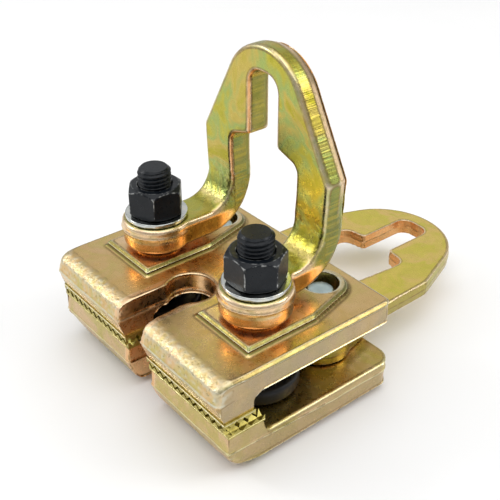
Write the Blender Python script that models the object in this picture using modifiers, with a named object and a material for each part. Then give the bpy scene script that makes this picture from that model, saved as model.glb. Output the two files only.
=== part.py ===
"""Two-way pulling clamp: two toothed jaws drawn together by two M16 bolts, with an upright pull ring
on the bolts and a flat pull eye pinned between the jaws.

Metres, +Z up. X is across the clamp, +Y runs back to the tip of the flat pull eye, and -Y is the
toothed mouth. The origin is at the bottom centre of the whole clamp, and the jaws rest closed.
"""

import math

import bmesh
import bpy
from mathutils import Matrix

MM = 0.001
GAP = 0.3 * MM  # between two pieces that touch
SIDES = (("right", 1), ("left", -1))

# Stations along Y.
MOUTH_Y = -100.0 * MM  # foremost ridge of the upper jaw
LOWER_FRONT_Y = MOUTH_Y + 4.0 * MM
LIP_BACK_Y = MOUTH_Y + 20.7 * MM
LOWER_LIP_BACK_Y = MOUTH_Y + 24.5 * MM
KEYHOLE_Y = MOUTH_Y + 35.0 * MM
BOLT_Y = MOUTH_Y + 42.9 * MM
PIN_Y = MOUTH_Y + 81.0 * MM
UPPER_REAR_Y = MOUTH_Y + 99.5 * MM
LOWER_REAR_Y = MOUTH_Y + 103.2 * MM
RING_FRONT_Y = MOUTH_Y + 76.6 * MM
EYE_ARC_Y = MOUTH_Y + 164.5 * MM
EYE_TIP_RADIUS = 35.5 * MM

# Heights.
LOWER_BOTTOM = 3.2 * MM  # underside of the lower plate, above its two feet
LOWER_TOP = 16.8 * MM
LOWER_LIP_TOP = 24.9 * MM
UPPER_LIP_BOTTOM = 30.2 * MM
UPPER_UNDERSIDE = 39.2 * MM
RIDGE_Z = 41.4 * MM
UPPER_TOP = 50.4 * MM
PAD_TOP = 53.6 * MM
FOOT_TOP = 69.4 * MM
EYE_BOTTOM = LOWER_TOP + 0.6 * MM
EYE_TOP = 26.0 * MM

# Jaws.
UPPER_HALF_WIDTH = 65.8 * MM
LOWER_HALF_WIDTH = 67.2 * MM
NOSE_RADIUS = 9.0 * MM
SLOT_HALF_WIDTH = 8.4 * MM
KEYHOLE_RADIUS = 11.0 * MM
EDGE_CHAMFER = 1.0 * MM
TOOTH_HEIGHT = 2.2 * MM
TEETH_ACROSS = 13
TEETH_DEEP = 4
PAD_HALF_WIDTH = 18.2 * MM
PAD_FRONT_Y = BOLT_Y - 19.0 * MM
PAD_STRAIGHT_Y = BOLT_Y + 19.0 * MM
PAD_END_RADIUS = 12.8 * MM
PAD_CHAMFER = 1.4 * MM
UNDER_PAD_RADIUS = 20.0 * MM

# Bolts, nuts, washers and pins.
BOLT_X = 37.5 * MM
BOLT_RADIUS = 7.9 * MM
BOLT_TOP = 94.8 * MM
THREAD_PITCH = 2.0 * MM
HEX_ACROSS_FLATS = 24.0 * MM
HEAD_HEIGHT = 10.0 * MM
HEAD_SEAT = 11.4 * MM
BOLT_HOLE_RADIUS = 9.2 * MM
NUT_HEIGHT = 14.2 * MM
NUT_BORE_RADIUS = BOLT_RADIUS + GAP
WASHER_RADIUS = 15.0 * MM
WASHER_BORE_RADIUS = 8.5 * MM
WASHER_THICKNESS = 2.0 * MM
PIN_RADIUS = 6.0 * MM
PIN_TOP = 50.0 * MM
PIN_BOTTOM = 5.0 * MM
SHOULDER_RADIUS = 11.0 * MM
PIN_HOLE_RADIUS = 8.4 * MM
CUSHION_RADIUS = 20.0 * MM
CUSHION_HEIGHT = 8.4 * MM
CUSHION_FRONT_Y = LOWER_LIP_BACK_Y + 4.2 * MM
SPRING_RADIUS = 11.5 * MM
SPRING_WIRE_RADIUS = 1.3 * MM
SPRING_TURNS = 3.5

# Pull ring.
RING_THICKNESS = 12.6 * MM
RING_CHAMFER = 1.6 * MM
BEND_RADIUS = 14.0 * MM  # inside the bend, on the front face
LEG_INNER_X = 21.8 * MM
LEG_OUTER_X = 42.4 * MM
RING_CORNER_X = 43.6 * MM
RING_CORNER_Z = 105.6 * MM
RING_ARC_Z = 128.2 * MM
RING_ARC_RADIUS = 27.0 * MM
CHAIN_SLOT_HALF_WIDTH = 9.3 * MM
CHAIN_SLOT_TOP = 143.0 * MM
CHAIN_SLOT_CORNER = 7.0 * MM
CHAIN_SHOULDER_Z = 110.6 * MM
CHAIN_EYE_HALF_WIDTH = 22.8 * MM
FOOT_RADIUS = 17.5 * MM
BALL_RADIUS = 12.5 * MM
SEAT_MOUTH_RADIUS = 12.8 * MM
BALL_Z = 60.0 * MM  # centre of both ball seats, where the upper jaw rocks

# Flat pull eye.
EYE_CHAMFER = 1.2 * MM
EYE_CORNER_X = 42.6 * MM
EYE_CORNER_Y = MOUTH_Y + 152.0 * MM
EYE_ROOT_X = 43.4 * MM
EYE_ROOT_Y = MOUTH_Y + 121.0 * MM
EAR_RADIUS = 16.2 * MM
EYE_SLOT_HALF_WIDTH = 9.0 * MM
EYE_SLOT_END_Y = MOUTH_Y + 190.4 * MM
EYE_SHOULDER_Y = MOUTH_Y + 158.0 * MM
EYE_WIDE_HALF_WIDTH = 21.5 * MM
EYE_OPENING_FRONT_Y = MOUTH_Y + 113.0 * MM
EYE_CORNER_RADIUS = 6.0 * MM

# Local axes of a flat outline, for each plane that it can be drawn in.
PLANES = {
    "XY": Matrix(((1, 0, 0), (0, 1, 0), (0, 0, 1))),
    "YZ": Matrix(((0, 0, 1), (1, 0, 0), (0, 1, 0))),
    "XZ": Matrix(((1, 0, 0), (0, 0, -1), (0, 1, 0))),
}


def clear_scene():
    for thing in list(bpy.data.objects):
        bpy.data.objects.remove(thing)


def collection(name, hidden=False):
    made = bpy.data.collections.new(name)
    bpy.context.scene.collection.children.link(made)
    made.hide_render = hidden
    return made


def material(name, colour, roughness, metallic):
    made = bpy.data.materials.new(name)
    made.use_nodes = True
    shader = made.node_tree.nodes["Principled BSDF"]
    shader.inputs["Base Color"].default_value = (*colour, 1.0)
    shader.inputs["Roughness"].default_value = roughness
    shader.inputs["Metallic"].default_value = metallic
    made.diffuse_color = (*colour, 1.0)
    return made


def arc(centre_a, centre_b, radius, start, end, steps):
    """Points along an arc in degrees, both ends included."""
    angles = [math.radians(start + (end - start) * step / steps) for step in range(steps + 1)]
    return [(centre_a + radius * math.cos(t), centre_b + radius * math.sin(t)) for t in angles]


def mirrored(points):
    """The points followed by their mirror images across the first axis, as one closed loop."""
    return points + [(-a, b) for a, b in reversed(points) if abs(a) > 1e-9]


def add_object(name, mesh, group):
    made = bpy.data.objects.new(name, mesh)
    group.objects.link(made)
    return made


def flat_solid(name, group, loops, plane, low, high, chamfer=0.0):
    """A flat outline with holes, extruded from low to high along the axis across its plane."""
    curve = bpy.data.curves.new(name, "CURVE")
    curve.dimensions = "2D"
    curve.fill_mode = "BOTH"
    curve.extrude = (high - low) / 2 - chamfer
    curve.bevel_depth = chamfer
    curve.bevel_resolution = 0
    curve.offset = -chamfer
    for loop in loops:
        spline = curve.splines.new("POLY")
        spline.points.add(len(loop) - 1)
        for point, (a, b) in zip(spline.points, loop):
            point.co = (a, b, 0, 1)
        spline.use_cyclic_u = True
    holder = bpy.data.objects.new(name, curve)
    bpy.context.scene.collection.objects.link(holder)
    graph = bpy.context.evaluated_depsgraph_get()
    mesh = bpy.data.meshes.new_from_object(holder.evaluated_get(graph))
    bpy.data.objects.remove(holder)
    across = "XYZ".index(({"X", "Y", "Z"} - set(plane)).pop())
    centre = [0.0, 0.0, 0.0]
    centre[across] = (low + high) / 2
    mesh.transform(Matrix.Translation(centre) @ PLANES[plane].to_4x4())
    weld(mesh)
    return add_object(name, mesh, group)


def weld(mesh):
    shape = bmesh.new()
    shape.from_mesh(mesh)
    bmesh.ops.remove_doubles(shape, verts=shape.verts, dist=1e-7)
    bmesh.ops.recalc_face_normals(shape, faces=shape.faces)
    shape.to_mesh(mesh)
    shape.free()


def turned_solid(name, group, profile, x, y, steps=28, ring=False):
    """A profile of (radius, height) points, run down its outer side and turned about a vertical axis."""
    mesh = bpy.data.meshes.new(name)
    count = len(profile)
    edges = [(i, i + 1) for i in range(count - 1)]
    if ring:
        edges.append((count - 1, 0))
    mesh.from_pydata([(radius, 0, height) for radius, height in profile], edges, [])
    made = add_object(name, mesh, group)
    made.location = (x, y, 0)
    screw = made.modifiers.new("turn", "SCREW")
    screw.axis = "Z"
    screw.steps = steps
    screw.render_steps = steps
    screw.use_merge_vertices = True
    screw.merge_threshold = 1e-6
    return made


def hex_solid(name, group, x, y, low, high, across_flats, turn=0.0):
    mesh = bpy.data.meshes.new(name)
    shape = bmesh.new()
    corner_radius = across_flats / math.sqrt(3)
    bmesh.ops.create_cone(
        shape,
        cap_ends=True,
        segments=6,
        radius1=corner_radius,
        radius2=corner_radius,
        depth=high - low,
        matrix=Matrix.Rotation(turn, 4, "Z"),
    )
    shape.to_mesh(mesh)
    shape.free()
    made = add_object(name, mesh, group)
    made.location = (x, y, (low + high) / 2)
    return made


def boolean(target, operation, other):
    change = target.modifiers.new(other.name, "BOOLEAN")
    change.operation = operation
    change.solver = "EXACT"
    change.object = other
    other.hide_render = True
    other.display_type = "WIRE"


def keyhole_cutter(name, low, high):
    """The slot between the two lips, with the round hole at its end."""
    half_angle = math.degrees(math.asin(SLOT_HALF_WIDTH / KEYHOLE_RADIUS))
    round_end = arc(0, KEYHOLE_Y, KEYHOLE_RADIUS, half_angle - 90, 270 - half_angle, 22)
    mouth = MOUTH_Y - 10 * MM
    loop = [(-SLOT_HALF_WIDTH, mouth), (SLOT_HALF_WIDTH, mouth)] + round_end
    return flat_solid(name, cutters, [loop], "XY", low, high)


def pad_outline(side):
    """The raised pad round a bolt and the pin hole behind it: a square front and a round back end."""
    centre = side * BOLT_X
    round_end = arc(centre, PIN_Y, PAD_END_RADIUS, 12, 168, 10)
    return [
        (centre - PAD_HALF_WIDTH, PAD_STRAIGHT_Y),
        (centre - PAD_HALF_WIDTH, PAD_FRONT_Y),
        (centre + PAD_HALF_WIDTH, PAD_FRONT_Y),
        (centre + PAD_HALF_WIDTH, PAD_STRAIGHT_Y),
    ] + round_end


def tooth_block(name, side, front, back, half_width, root, tip):
    """A field of pyramids across one lip, on a backing that sinks into the lip."""
    inner = SLOT_HALF_WIDTH + 0.05 * MM
    outer = half_width - EDGE_CHAMFER - 0.1 * MM
    mesh = bpy.data.meshes.new(name)
    shape = bmesh.new()
    bmesh.ops.create_grid(shape, x_segments=TEETH_ACROSS, y_segments=TEETH_DEEP, size=0.5)
    cells = list(shape.faces)
    height = abs(tip - root) - 0.05 * MM
    backing = bmesh.ops.extrude_face_region(shape, geom=cells, use_keep_orig=True)
    moved = [item for item in backing["geom"] if isinstance(item, bmesh.types.BMVert)]
    bmesh.ops.translate(shape, verts=moved, vec=(0, 0, -1.0 * MM))
    width = outer - inner
    depth = back - front
    bmesh.ops.scale(shape, verts=shape.verts, vec=(width, depth, 1))
    bmesh.ops.recalc_face_normals(shape, faces=shape.faces)
    bmesh.ops.poke(shape, faces=cells, offset=height, center_mode="MEAN")
    if tip < root:
        bmesh.ops.rotate(shape, verts=shape.verts, matrix=Matrix.Rotation(math.pi, 3, "Y"))
    lift = math.copysign(0.05 * MM, tip - root)
    centre = (side * (inner + outer) / 2, (front + back) / 2, root + lift)
    bmesh.ops.translate(shape, verts=shape.verts, vec=centre)
    bmesh.ops.recalc_face_normals(shape, faces=shape.faces)
    shape.to_mesh(mesh)
    shape.free()
    return add_object(name, mesh, cutters)


def upper_profile():
    """Side view of the upper jaw: rounded nose, toothed lip, relieved underside."""
    nose_z = UPPER_TOP - NOSE_RADIUS
    recess = 4 * MM
    return (
        [(UPPER_REAR_Y, UPPER_UNDERSIDE), (UPPER_REAR_Y, UPPER_TOP)]
        + arc(MOUTH_Y + NOSE_RADIUS, nose_z, NOSE_RADIUS, 90, 180, 5)
        + [(MOUTH_Y + 3.6 * MM, UPPER_LIP_BOTTOM), (LIP_BACK_Y, UPPER_LIP_BOTTOM)]
        + arc(LIP_BACK_Y + recess, UPPER_UNDERSIDE - recess, recess, 180, 90, 3)
    )


def lower_profile():
    """Side view of the lower jaw: toothed lip, relieved top, front rounded under the parting ridge."""
    ridge_z = 15.5 * MM
    fillet = 2.5 * MM
    return (
        [(LOWER_REAR_Y, LOWER_BOTTOM), (LOWER_REAR_Y, LOWER_TOP)]
        + arc(LOWER_LIP_BACK_Y + 1 * MM + fillet, LOWER_TOP + fillet, fillet, 270, 190, 3)
        + [(LOWER_LIP_BACK_Y, LOWER_LIP_TOP), (LOWER_FRONT_Y + 0.6 * MM, LOWER_LIP_TOP)]
        + [(LOWER_FRONT_Y, ridge_z), (LOWER_FRONT_Y + 3.2 * MM, 7.6 * MM)]
        + [(LOWER_FRONT_Y + 8 * MM, LOWER_BOTTOM)]
    )


def build_upper_jaw(group):
    jaw = flat_solid(
        "upper_jaw", group, [upper_profile()], "YZ", -UPPER_HALF_WIDTH, UPPER_HALF_WIDTH, EDGE_CHAMFER
    )
    for label, side in SIDES:
        pad = flat_solid(
            f"upper_pad_{label}",
            cutters,
            [pad_outline(side)],
            "XY",
            UPPER_TOP - 5 * MM,
            PAD_TOP,
            PAD_CHAMFER,
        )
        boolean(jaw, "UNION", pad)
        teeth = tooth_block(
            f"upper_teeth_{label}",
            side,
            MOUTH_Y + 3.8 * MM,
            LIP_BACK_Y - 0.2 * MM,
            UPPER_HALF_WIDTH,
            UPPER_LIP_BOTTOM,
            UPPER_LIP_BOTTOM - TOOTH_HEIGHT,
        )
        boolean(jaw, "UNION", teeth)
    boolean(jaw, "DIFFERENCE", keyhole_cutter("upper_keyhole", 20 * MM, 60 * MM))
    for label, side in SIDES:
        x = side * BOLT_X
        seat_radius = BALL_RADIUS + GAP
        top = PAD_TOP + 2 * MM
        bottom = UPPER_UNDERSIDE - 2 * MM
        rim_z = BALL_Z - math.sqrt(seat_radius**2 - BOLT_HOLE_RADIUS**2)
        end = math.degrees(math.asin((rim_z - BALL_Z) / seat_radius))
        seat = arc(0, BALL_Z, seat_radius, end + 6, end, 2)
        mouth = SEAT_MOUTH_RADIUS + top - PAD_TOP
        profile = [(0, top), (mouth, top)] + seat + [(BOLT_HOLE_RADIUS, bottom), (0, bottom)]
        boolean(jaw, "DIFFERENCE", turned_solid(f"ball_seat_{label}", cutters, profile, x, BOLT_Y))
        hole = [(0, top), (PIN_HOLE_RADIUS, top), (PIN_HOLE_RADIUS, bottom), (0, bottom)]
        boolean(jaw, "DIFFERENCE", turned_solid(f"pin_hole_{label}", cutters, hole, x, PIN_Y, 24))
    return jaw


def build_lower_jaw(group):
    jaw = flat_solid(
        "lower_jaw", group, [lower_profile()], "YZ", -LOWER_HALF_WIDTH, LOWER_HALF_WIDTH, EDGE_CHAMFER
    )
    corner = 9 * MM
    half = LOWER_HALF_WIDTH + 1 * MM
    inner = LOWER_HALF_WIDTH - corner
    plan = mirrored(
        [(half, MOUTH_Y), (half, LOWER_REAR_Y - 2 * corner), (LOWER_HALF_WIDTH, LOWER_REAR_Y - corner)]
        + arc(inner, LOWER_REAR_Y - corner, corner, 15, 75, 3)
        + [(inner, LOWER_REAR_Y)]
    )
    limits = flat_solid("rear_corners", cutters, [plan], "XY", -5 * MM, 60 * MM)
    boolean(jaw, "INTERSECT", limits)
    for label, side in SIDES:
        x = side * BOLT_X
        teeth = tooth_block(
            f"lower_teeth_{label}",
            side,
            LOWER_FRONT_Y + 0.8 * MM,
            LOWER_LIP_BACK_Y - 0.2 * MM,
            LOWER_HALF_WIDTH,
            LOWER_LIP_TOP,
            LOWER_LIP_TOP + TOOTH_HEIGHT,
        )
        boolean(jaw, "UNION", teeth)
        foot = [
            (0, LOWER_TOP - 2 * MM),
            (UNDER_PAD_RADIUS + 1.6 * MM, LOWER_TOP - 2 * MM),
            (UNDER_PAD_RADIUS + 1.6 * MM, LOWER_BOTTOM),
            (UNDER_PAD_RADIUS, 0),
            (0, 0),
        ]
        boolean(jaw, "UNION", turned_solid(f"under_pad_{label}", cutters, foot, x, BOLT_Y, 32))
    boolean(jaw, "DIFFERENCE", keyhole_cutter("lower_keyhole", -5 * MM, 32 * MM))
    for label, side in SIDES:
        x = side * BOLT_X
        top = LOWER_TOP + 2 * MM
        shank = BOLT_RADIUS + GAP
        hole = [(0, top), (shank, top), (shank, HEAD_SEAT - 1 * MM), (0, HEAD_SEAT - 1 * MM)]
        boolean(jaw, "DIFFERENCE", turned_solid(f"shank_hole_{label}", cutters, hole, x, BOLT_Y))
        pocket = hex_solid(
            f"head_pocket_{label}", cutters, x, BOLT_Y, -2 * MM, HEAD_SEAT, HEX_ACROSS_FLATS + 2 * GAP
        )
        boolean(jaw, "DIFFERENCE", pocket)
        bore = PIN_RADIUS + GAP
        low = PIN_BOTTOM - GAP
        blind = [(0, top), (bore, top), (bore, low), (0, low)]
        boolean(jaw, "DIFFERENCE", turned_solid(f"pin_bore_{label}", cutters, blind, x, PIN_Y, 24))
    return jaw


def ring_outline():
    """Front view of the upright ring above its bends: an arch with a chain slot over a wide eye."""
    leg_bottom = FOOT_TOP + BEND_RADIUS - 2 * MM
    flank = math.atan2(RING_ARC_Z - RING_CORNER_Z, RING_CORNER_X)
    reach = math.hypot(RING_CORNER_X, RING_ARC_Z - RING_CORNER_Z)
    touch = math.degrees(math.acos(RING_ARC_RADIUS / reach) - flank)
    shoulder_x = CHAIN_EYE_HALF_WIDTH - 5 * MM
    shoulder_z = CHAIN_SHOULDER_Z - 7.4 * MM
    slot_round_z = CHAIN_SLOT_TOP - CHAIN_SLOT_CORNER
    outer = [(LEG_OUTER_X, leg_bottom), (RING_CORNER_X, RING_CORNER_Z)]
    outer += arc(0, RING_ARC_Z, RING_ARC_RADIUS, touch, 180 - touch, 16)
    outer += [(-RING_CORNER_X, RING_CORNER_Z), (-LEG_OUTER_X, leg_bottom)]
    right = [(LEG_INNER_X, leg_bottom), (CHAIN_EYE_HALF_WIDTH, FOOT_TOP + 27 * MM)]
    right += arc(shoulder_x, shoulder_z, 5 * MM, 0, 80, 4)
    right += [(CHAIN_SLOT_HALF_WIDTH + 1.6 * MM, CHAIN_SHOULDER_Z)]
    right += [(CHAIN_SLOT_HALF_WIDTH, CHAIN_SHOULDER_Z + 2 * MM)]
    top_right = arc(
        CHAIN_SLOT_HALF_WIDTH - CHAIN_SLOT_CORNER, slot_round_z, CHAIN_SLOT_CORNER, 0, 90, 4
    )
    top_left = [(-a, b) for a, b in reversed(top_right)]
    left = [(-a, b) for a, b in right]
    return outer + left + list(reversed(top_right + top_left)) + list(reversed(right))


def bend_profile():
    """Side view of one leg's bend and the strap that runs forward from it to the foot."""
    centre_y = RING_FRONT_Y - BEND_RADIUS
    centre_z = FOOT_TOP + BEND_RADIUS
    rise = 4 * MM
    strap_front = BOLT_Y + 4 * MM
    outer_radius = BEND_RADIUS + RING_THICKNESS
    return (
        [(strap_front, FOOT_TOP)]
        + arc(centre_y, centre_z, BEND_RADIUS, 270, 360, 7)
        + [(RING_FRONT_Y, centre_z + rise), (RING_FRONT_Y + RING_THICKNESS, centre_z + rise)]
        + arc(centre_y, centre_z, outer_radius, 360, 270, 9)
        + [(strap_front, FOOT_TOP - RING_THICKNESS)]
    )


def foot_profile():
    """Half section of a round foot: flat top, drafted side with a ridge, ball seat underneath."""
    ball_low = BALL_Z - math.sqrt(BALL_RADIUS**2 - (WASHER_BORE_RADIUS + 0.6 * MM) ** 2)
    ball_high = 56.2 * MM
    start = math.degrees(math.asin((ball_high - BALL_Z) / BALL_RADIUS))
    end = math.degrees(math.asin((ball_low - BALL_Z) / BALL_RADIUS))
    return (
        [(0, FOOT_TOP), (FOOT_RADIUS - 1.6 * MM, FOOT_TOP), (FOOT_RADIUS - 0.5 * MM, FOOT_TOP - 1 * MM)]
        + [(FOOT_RADIUS, 62.4 * MM), (FOOT_RADIUS - 0.2 * MM, 61.0 * MM), (14.3 * MM, ball_high)]
        + arc(0, BALL_Z, BALL_RADIUS, start, end, 4)
        + [(0, ball_low)]
    )


def build_pull_ring(group):
    ring = flat_solid(
        "pull_ring",
        group,
        [ring_outline()],
        "XZ",
        RING_FRONT_Y,
        RING_FRONT_Y + RING_THICKNESS,
        RING_CHAMFER,
    )
    for label, side in SIDES:
        low, high = sorted((side * LEG_INNER_X, side * LEG_OUTER_X))
        bend = flat_solid(
            f"ring_bend_{label}", cutters, [bend_profile()], "YZ", low, high, RING_CHAMFER
        )
        boolean(ring, "UNION", bend)
        foot = turned_solid(
            f"ring_foot_{label}", cutters, foot_profile(), side * BOLT_X, BOLT_Y, 32
        )
        boolean(ring, "UNION", foot)
    for label, side in SIDES:
        top = FOOT_TOP + 2 * MM
        bottom = UPPER_TOP - 2 * MM
        bore = [(0, top), (WASHER_BORE_RADIUS, top), (WASHER_BORE_RADIUS, bottom), (0, bottom)]
        boolean(
            ring,
            "DIFFERENCE",
            turned_solid(f"foot_bore_{label}", cutters, bore, side * BOLT_X, BOLT_Y),
        )
    return ring


def eye_outline():
    """Plan of the flat pull eye: two round ears on the pins, a neck, and a round-ended eye."""
    flank = math.atan2(EYE_CORNER_Y - EYE_ARC_Y, EYE_CORNER_X)
    reach = math.hypot(EYE_CORNER_X, EYE_CORNER_Y - EYE_ARC_Y)
    touch = math.degrees(math.acos(min(1.0, EYE_TIP_RADIUS / reach)) + flank)
    waist_y = PIN_Y - 5 * MM
    return mirrored(
        [(0, waist_y), (BOLT_X - EAR_RADIUS - 1 * MM, waist_y)]
        + arc(BOLT_X, PIN_Y, EAR_RADIUS, 205, 395, 14)
        + [(EYE_ROOT_X, EYE_ROOT_Y), (EYE_CORNER_X, EYE_CORNER_Y)]
        + arc(0, EYE_ARC_Y, EYE_TIP_RADIUS, touch, 90, 10)
    )


def eye_opening():
    """Plan of the opening in the flat pull eye: a chain slot over a wide eye."""
    corner = EYE_CORNER_RADIUS
    wide = EYE_WIDE_HALF_WIDTH
    return mirrored(
        [(0, EYE_OPENING_FRONT_Y), (wide - 9 * MM, EYE_OPENING_FRONT_Y)]
        + arc(wide - 9 * MM, EYE_OPENING_FRONT_Y + corner, corner, 290, 350, 3)
        + [(wide, EYE_SHOULDER_Y - 9 * MM)]
        + arc(wide - 5 * MM, EYE_SHOULDER_Y - 6.2 * MM, 5 * MM, 0, 75, 4)
        + [(EYE_SLOT_HALF_WIDTH + 1 * MM, EYE_SHOULDER_Y), (EYE_SLOT_HALF_WIDTH, EYE_SHOULDER_Y + 1 * MM)]
        + arc(EYE_SLOT_HALF_WIDTH - corner, EYE_SLOT_END_Y - corner, corner, 0, 90, 4)
    )


def build_pull_eye(group):
    eye = flat_solid(
        "pull_eye", group, [eye_outline(), eye_opening()], "XY", EYE_BOTTOM, EYE_TOP, EYE_CHAMFER
    )
    for label, side in SIDES:
        radius = PIN_RADIUS + GAP
        top = EYE_TOP + 2 * MM
        bottom = EYE_BOTTOM - 2 * MM
        hole = [(0, top), (radius, top), (radius, bottom), (0, bottom)]
        cutter = turned_solid(f"ear_hole_{label}", cutters, hole, side * BOLT_X, PIN_Y, 24)
        boolean(eye, "DIFFERENCE", cutter)
    return eye


def build_clamp_bolt(label, side, group):
    """An M16 bolt, head down in its pocket. The thread is left plain."""
    x = side * BOLT_X
    head_top = HEAD_SEAT - GAP
    low = head_top - HEAD_HEIGHT
    chamfer = 1.5 * MM
    shank = [
        (0, BOLT_TOP),
        (BOLT_RADIUS - chamfer, BOLT_TOP),
        (BOLT_RADIUS, BOLT_TOP - chamfer),
        (BOLT_RADIUS, low + 2 * MM),
        (0, low + 2 * MM),
    ]
    bolt = turned_solid(f"clamp_bolt_{label}", group, shank, x, BOLT_Y)
    head = hex_solid(f"bolt_head_{label}", cutters, x, BOLT_Y, low, head_top, HEX_ACROSS_FLATS)
    boolean(bolt, "UNION", head)
    return bolt


def build_clamp_nut(label, side, group):
    """An M16 hexagon nut with both ends chamfered."""
    x = side * BOLT_X
    low = FOOT_TOP + WASHER_THICKNESS + 2 * GAP
    high = low + NUT_HEIGHT
    nut = hex_solid(
        f"clamp_nut_{label}", group, x, BOLT_Y, low, high, HEX_ACROSS_FLATS, math.radians(12 + 19 * side)
    )
    flat = HEX_ACROSS_FLATS / 2 - 0.8 * MM
    corner = HEX_ACROSS_FLATS / math.sqrt(3) + 0.5 * MM
    drop = (corner - flat) * math.tan(math.radians(38))
    barrel = [
        (0, high),
        (flat, high),
        (corner, high - drop),
        (corner, low + drop),
        (flat, low),
        (0, low),
    ]
    boolean(nut, "INTERSECT", turned_solid(f"nut_chamfer_{label}", cutters, barrel, x, BOLT_Y))
    rim = NUT_BORE_RADIUS + 1 * MM
    bore = [
        (0, high + 1 * MM),
        (rim, high + 1 * MM),
        (rim, high),
        (NUT_BORE_RADIUS, high - 1 * MM),
        (NUT_BORE_RADIUS, low - 1 * MM),
        (0, low - 1 * MM),
    ]
    boolean(nut, "DIFFERENCE", turned_solid(f"nut_bore_{label}", cutters, bore, x, BOLT_Y))
    return nut


def ring_profile(inner, outer, low, high, chamfer):
    """Closed half section of a plain ring with its outer corners broken."""
    return [
        (inner, high),
        (outer - chamfer, high),
        (outer, high - chamfer),
        (outer, low + chamfer),
        (outer - chamfer, low),
        (inner, low),
    ]


def build_flat_washer(label, side, group):
    low = FOOT_TOP + GAP
    profile = ring_profile(
        WASHER_BORE_RADIUS, WASHER_RADIUS, low, low + WASHER_THICKNESS, 0.4 * MM
    )
    return turned_solid(
        f"flat_washer_{label}", group, profile, side * BOLT_X, BOLT_Y, 32, ring=True
    )


def build_fulcrum_pin(label, side, group):
    """A shouldered pin: spigot through the ear into the lower jaw, shoulder under the upper jaw."""
    shoulder_low = EYE_TOP + GAP
    shoulder_high = UPPER_UNDERSIDE - GAP
    profile = [
        (0, PIN_TOP),
        (PIN_RADIUS - 0.6 * MM, PIN_TOP),
        (PIN_RADIUS, PIN_TOP - 0.6 * MM),
        (PIN_RADIUS, shoulder_high),
        (SHOULDER_RADIUS - 1 * MM, shoulder_high),
        (SHOULDER_RADIUS, shoulder_high - 1 * MM),
        (SHOULDER_RADIUS, shoulder_low),
        (PIN_RADIUS, shoulder_low),
        (PIN_RADIUS, PIN_BOTTOM),
        (0, PIN_BOTTOM),
    ]
    return turned_solid(f"fulcrum_pin_{label}", group, profile, side * BOLT_X, PIN_Y, 24)


def build_cushion(label, side, group):
    """A rubber disc round the bolt, cut flat at the front where the lip of the lower jaw rises."""
    low = LOWER_TOP + GAP
    bore = BOLT_RADIUS + 2 * GAP
    profile = ring_profile(bore, CUSHION_RADIUS, low, low + CUSHION_HEIGHT, 1.2 * MM)
    cushion = turned_solid(f"cushion_{label}", group, profile, side * BOLT_X, BOLT_Y, 32, ring=True)
    near = side * BOLT_X - 2 * CUSHION_RADIUS
    far = side * BOLT_X + 2 * CUSHION_RADIUS
    loop = [(near, MOUTH_Y), (far, MOUTH_Y), (far, CUSHION_FRONT_Y), (near, CUSHION_FRONT_Y)]
    cutter = flat_solid(f"lip_room_{label}", cutters, [loop], "XY", low - 1 * MM, low + 20 * MM)
    boolean(cushion, "DIFFERENCE", cutter)
    return cushion


def build_return_spring(label, side, group):
    """A coil that lifts the upper jaw off the cushion, with its end coils laid flat."""
    low = LOWER_TOP + CUSHION_HEIGHT + 2 * GAP + SPRING_WIRE_RADIUS
    high = UPPER_UNDERSIDE - GAP - SPRING_WIRE_RADIUS
    per_turn = 14
    count = round(SPRING_TURNS * per_turn)
    curve = bpy.data.curves.new(f"return_spring_{label}", "CURVE")
    curve.dimensions = "3D"
    curve.bevel_depth = SPRING_WIRE_RADIUS
    curve.bevel_resolution = 1
    curve.use_fill_caps = True
    spline = curve.splines.new("POLY")
    spline.points.add(count)
    for step, point in enumerate(spline.points):
        angle = 2 * math.pi * step / per_turn
        share = min(1.0, max(0.0, (step - per_turn * 0.4) / (count - per_turn * 0.8)))
        point.co = (
            side * BOLT_X + SPRING_RADIUS * math.cos(angle),
            BOLT_Y + SPRING_RADIUS * math.sin(angle),
            low + (high - low) * share,
            1,
        )
    made = bpy.data.objects.new(curve.name, curve)
    group.objects.link(made)
    return made


def set_origin(thing, x, y, z):
    """Moves an object's origin onto its joint's axis and leaves its shape in place."""
    shift = Matrix.Translation((thing.location.x - x, thing.location.y - y, thing.location.z - z))
    thing.data.transform(shift)
    thing.location = (x, y, z)


def finish(thing, finish_material):
    thing.data.materials.clear()
    thing.data.materials.append(finish_material)
    if thing.type == "MESH":
        thing.data.shade_smooth()
        thing.data.set_sharp_from_angle(angle=math.radians(30))


clear_scene()
parts = collection("pulling_clamp")
cutters = collection("cutters")

yellow_zinc = material("yellow_zinc", (0.62, 0.50, 0.22), 0.34, 1.0)
black_oxide = material("black_oxide", (0.025, 0.027, 0.03), 0.42, 0.6)
white_zinc = material("white_zinc", (0.72, 0.76, 0.80), 0.30, 1.0)
black_rubber = material("black_rubber", (0.015, 0.015, 0.015), 0.7, 0.0)
spring_steel = material("spring_steel", (0.20, 0.20, 0.21), 0.4, 1.0)

finish(build_lower_jaw(parts), yellow_zinc)
finish(build_pull_eye(parts), yellow_zinc)
pull_ring = build_pull_ring(parts)
finish(pull_ring, yellow_zinc)
upper_jaw = build_upper_jaw(parts)
set_origin(upper_jaw, 0, BOLT_Y, BALL_Z)
finish(upper_jaw, yellow_zinc)
for label, side in SIDES:
    finish(build_clamp_bolt(label, side, parts), black_oxide)
    finish(build_clamp_nut(label, side, parts), black_oxide)
    finish(build_flat_washer(label, side, parts), white_zinc)
    finish(build_fulcrum_pin(label, side, parts), white_zinc)
    finish(build_cushion(label, side, parts), black_rubber)
    finish(build_return_spring(label, side, parts), spring_steel)
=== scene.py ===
"""Looks of a two-way pulling clamp: forged yellow-zinc jaws, ring and eye, black bolts and nuts.

Metres, +Z up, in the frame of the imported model. Every piece stands for one node of that model.
"""

import itertools
import math

import bmesh
import bpy
import numpy as np
from mathutils import Matrix, Vector


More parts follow.
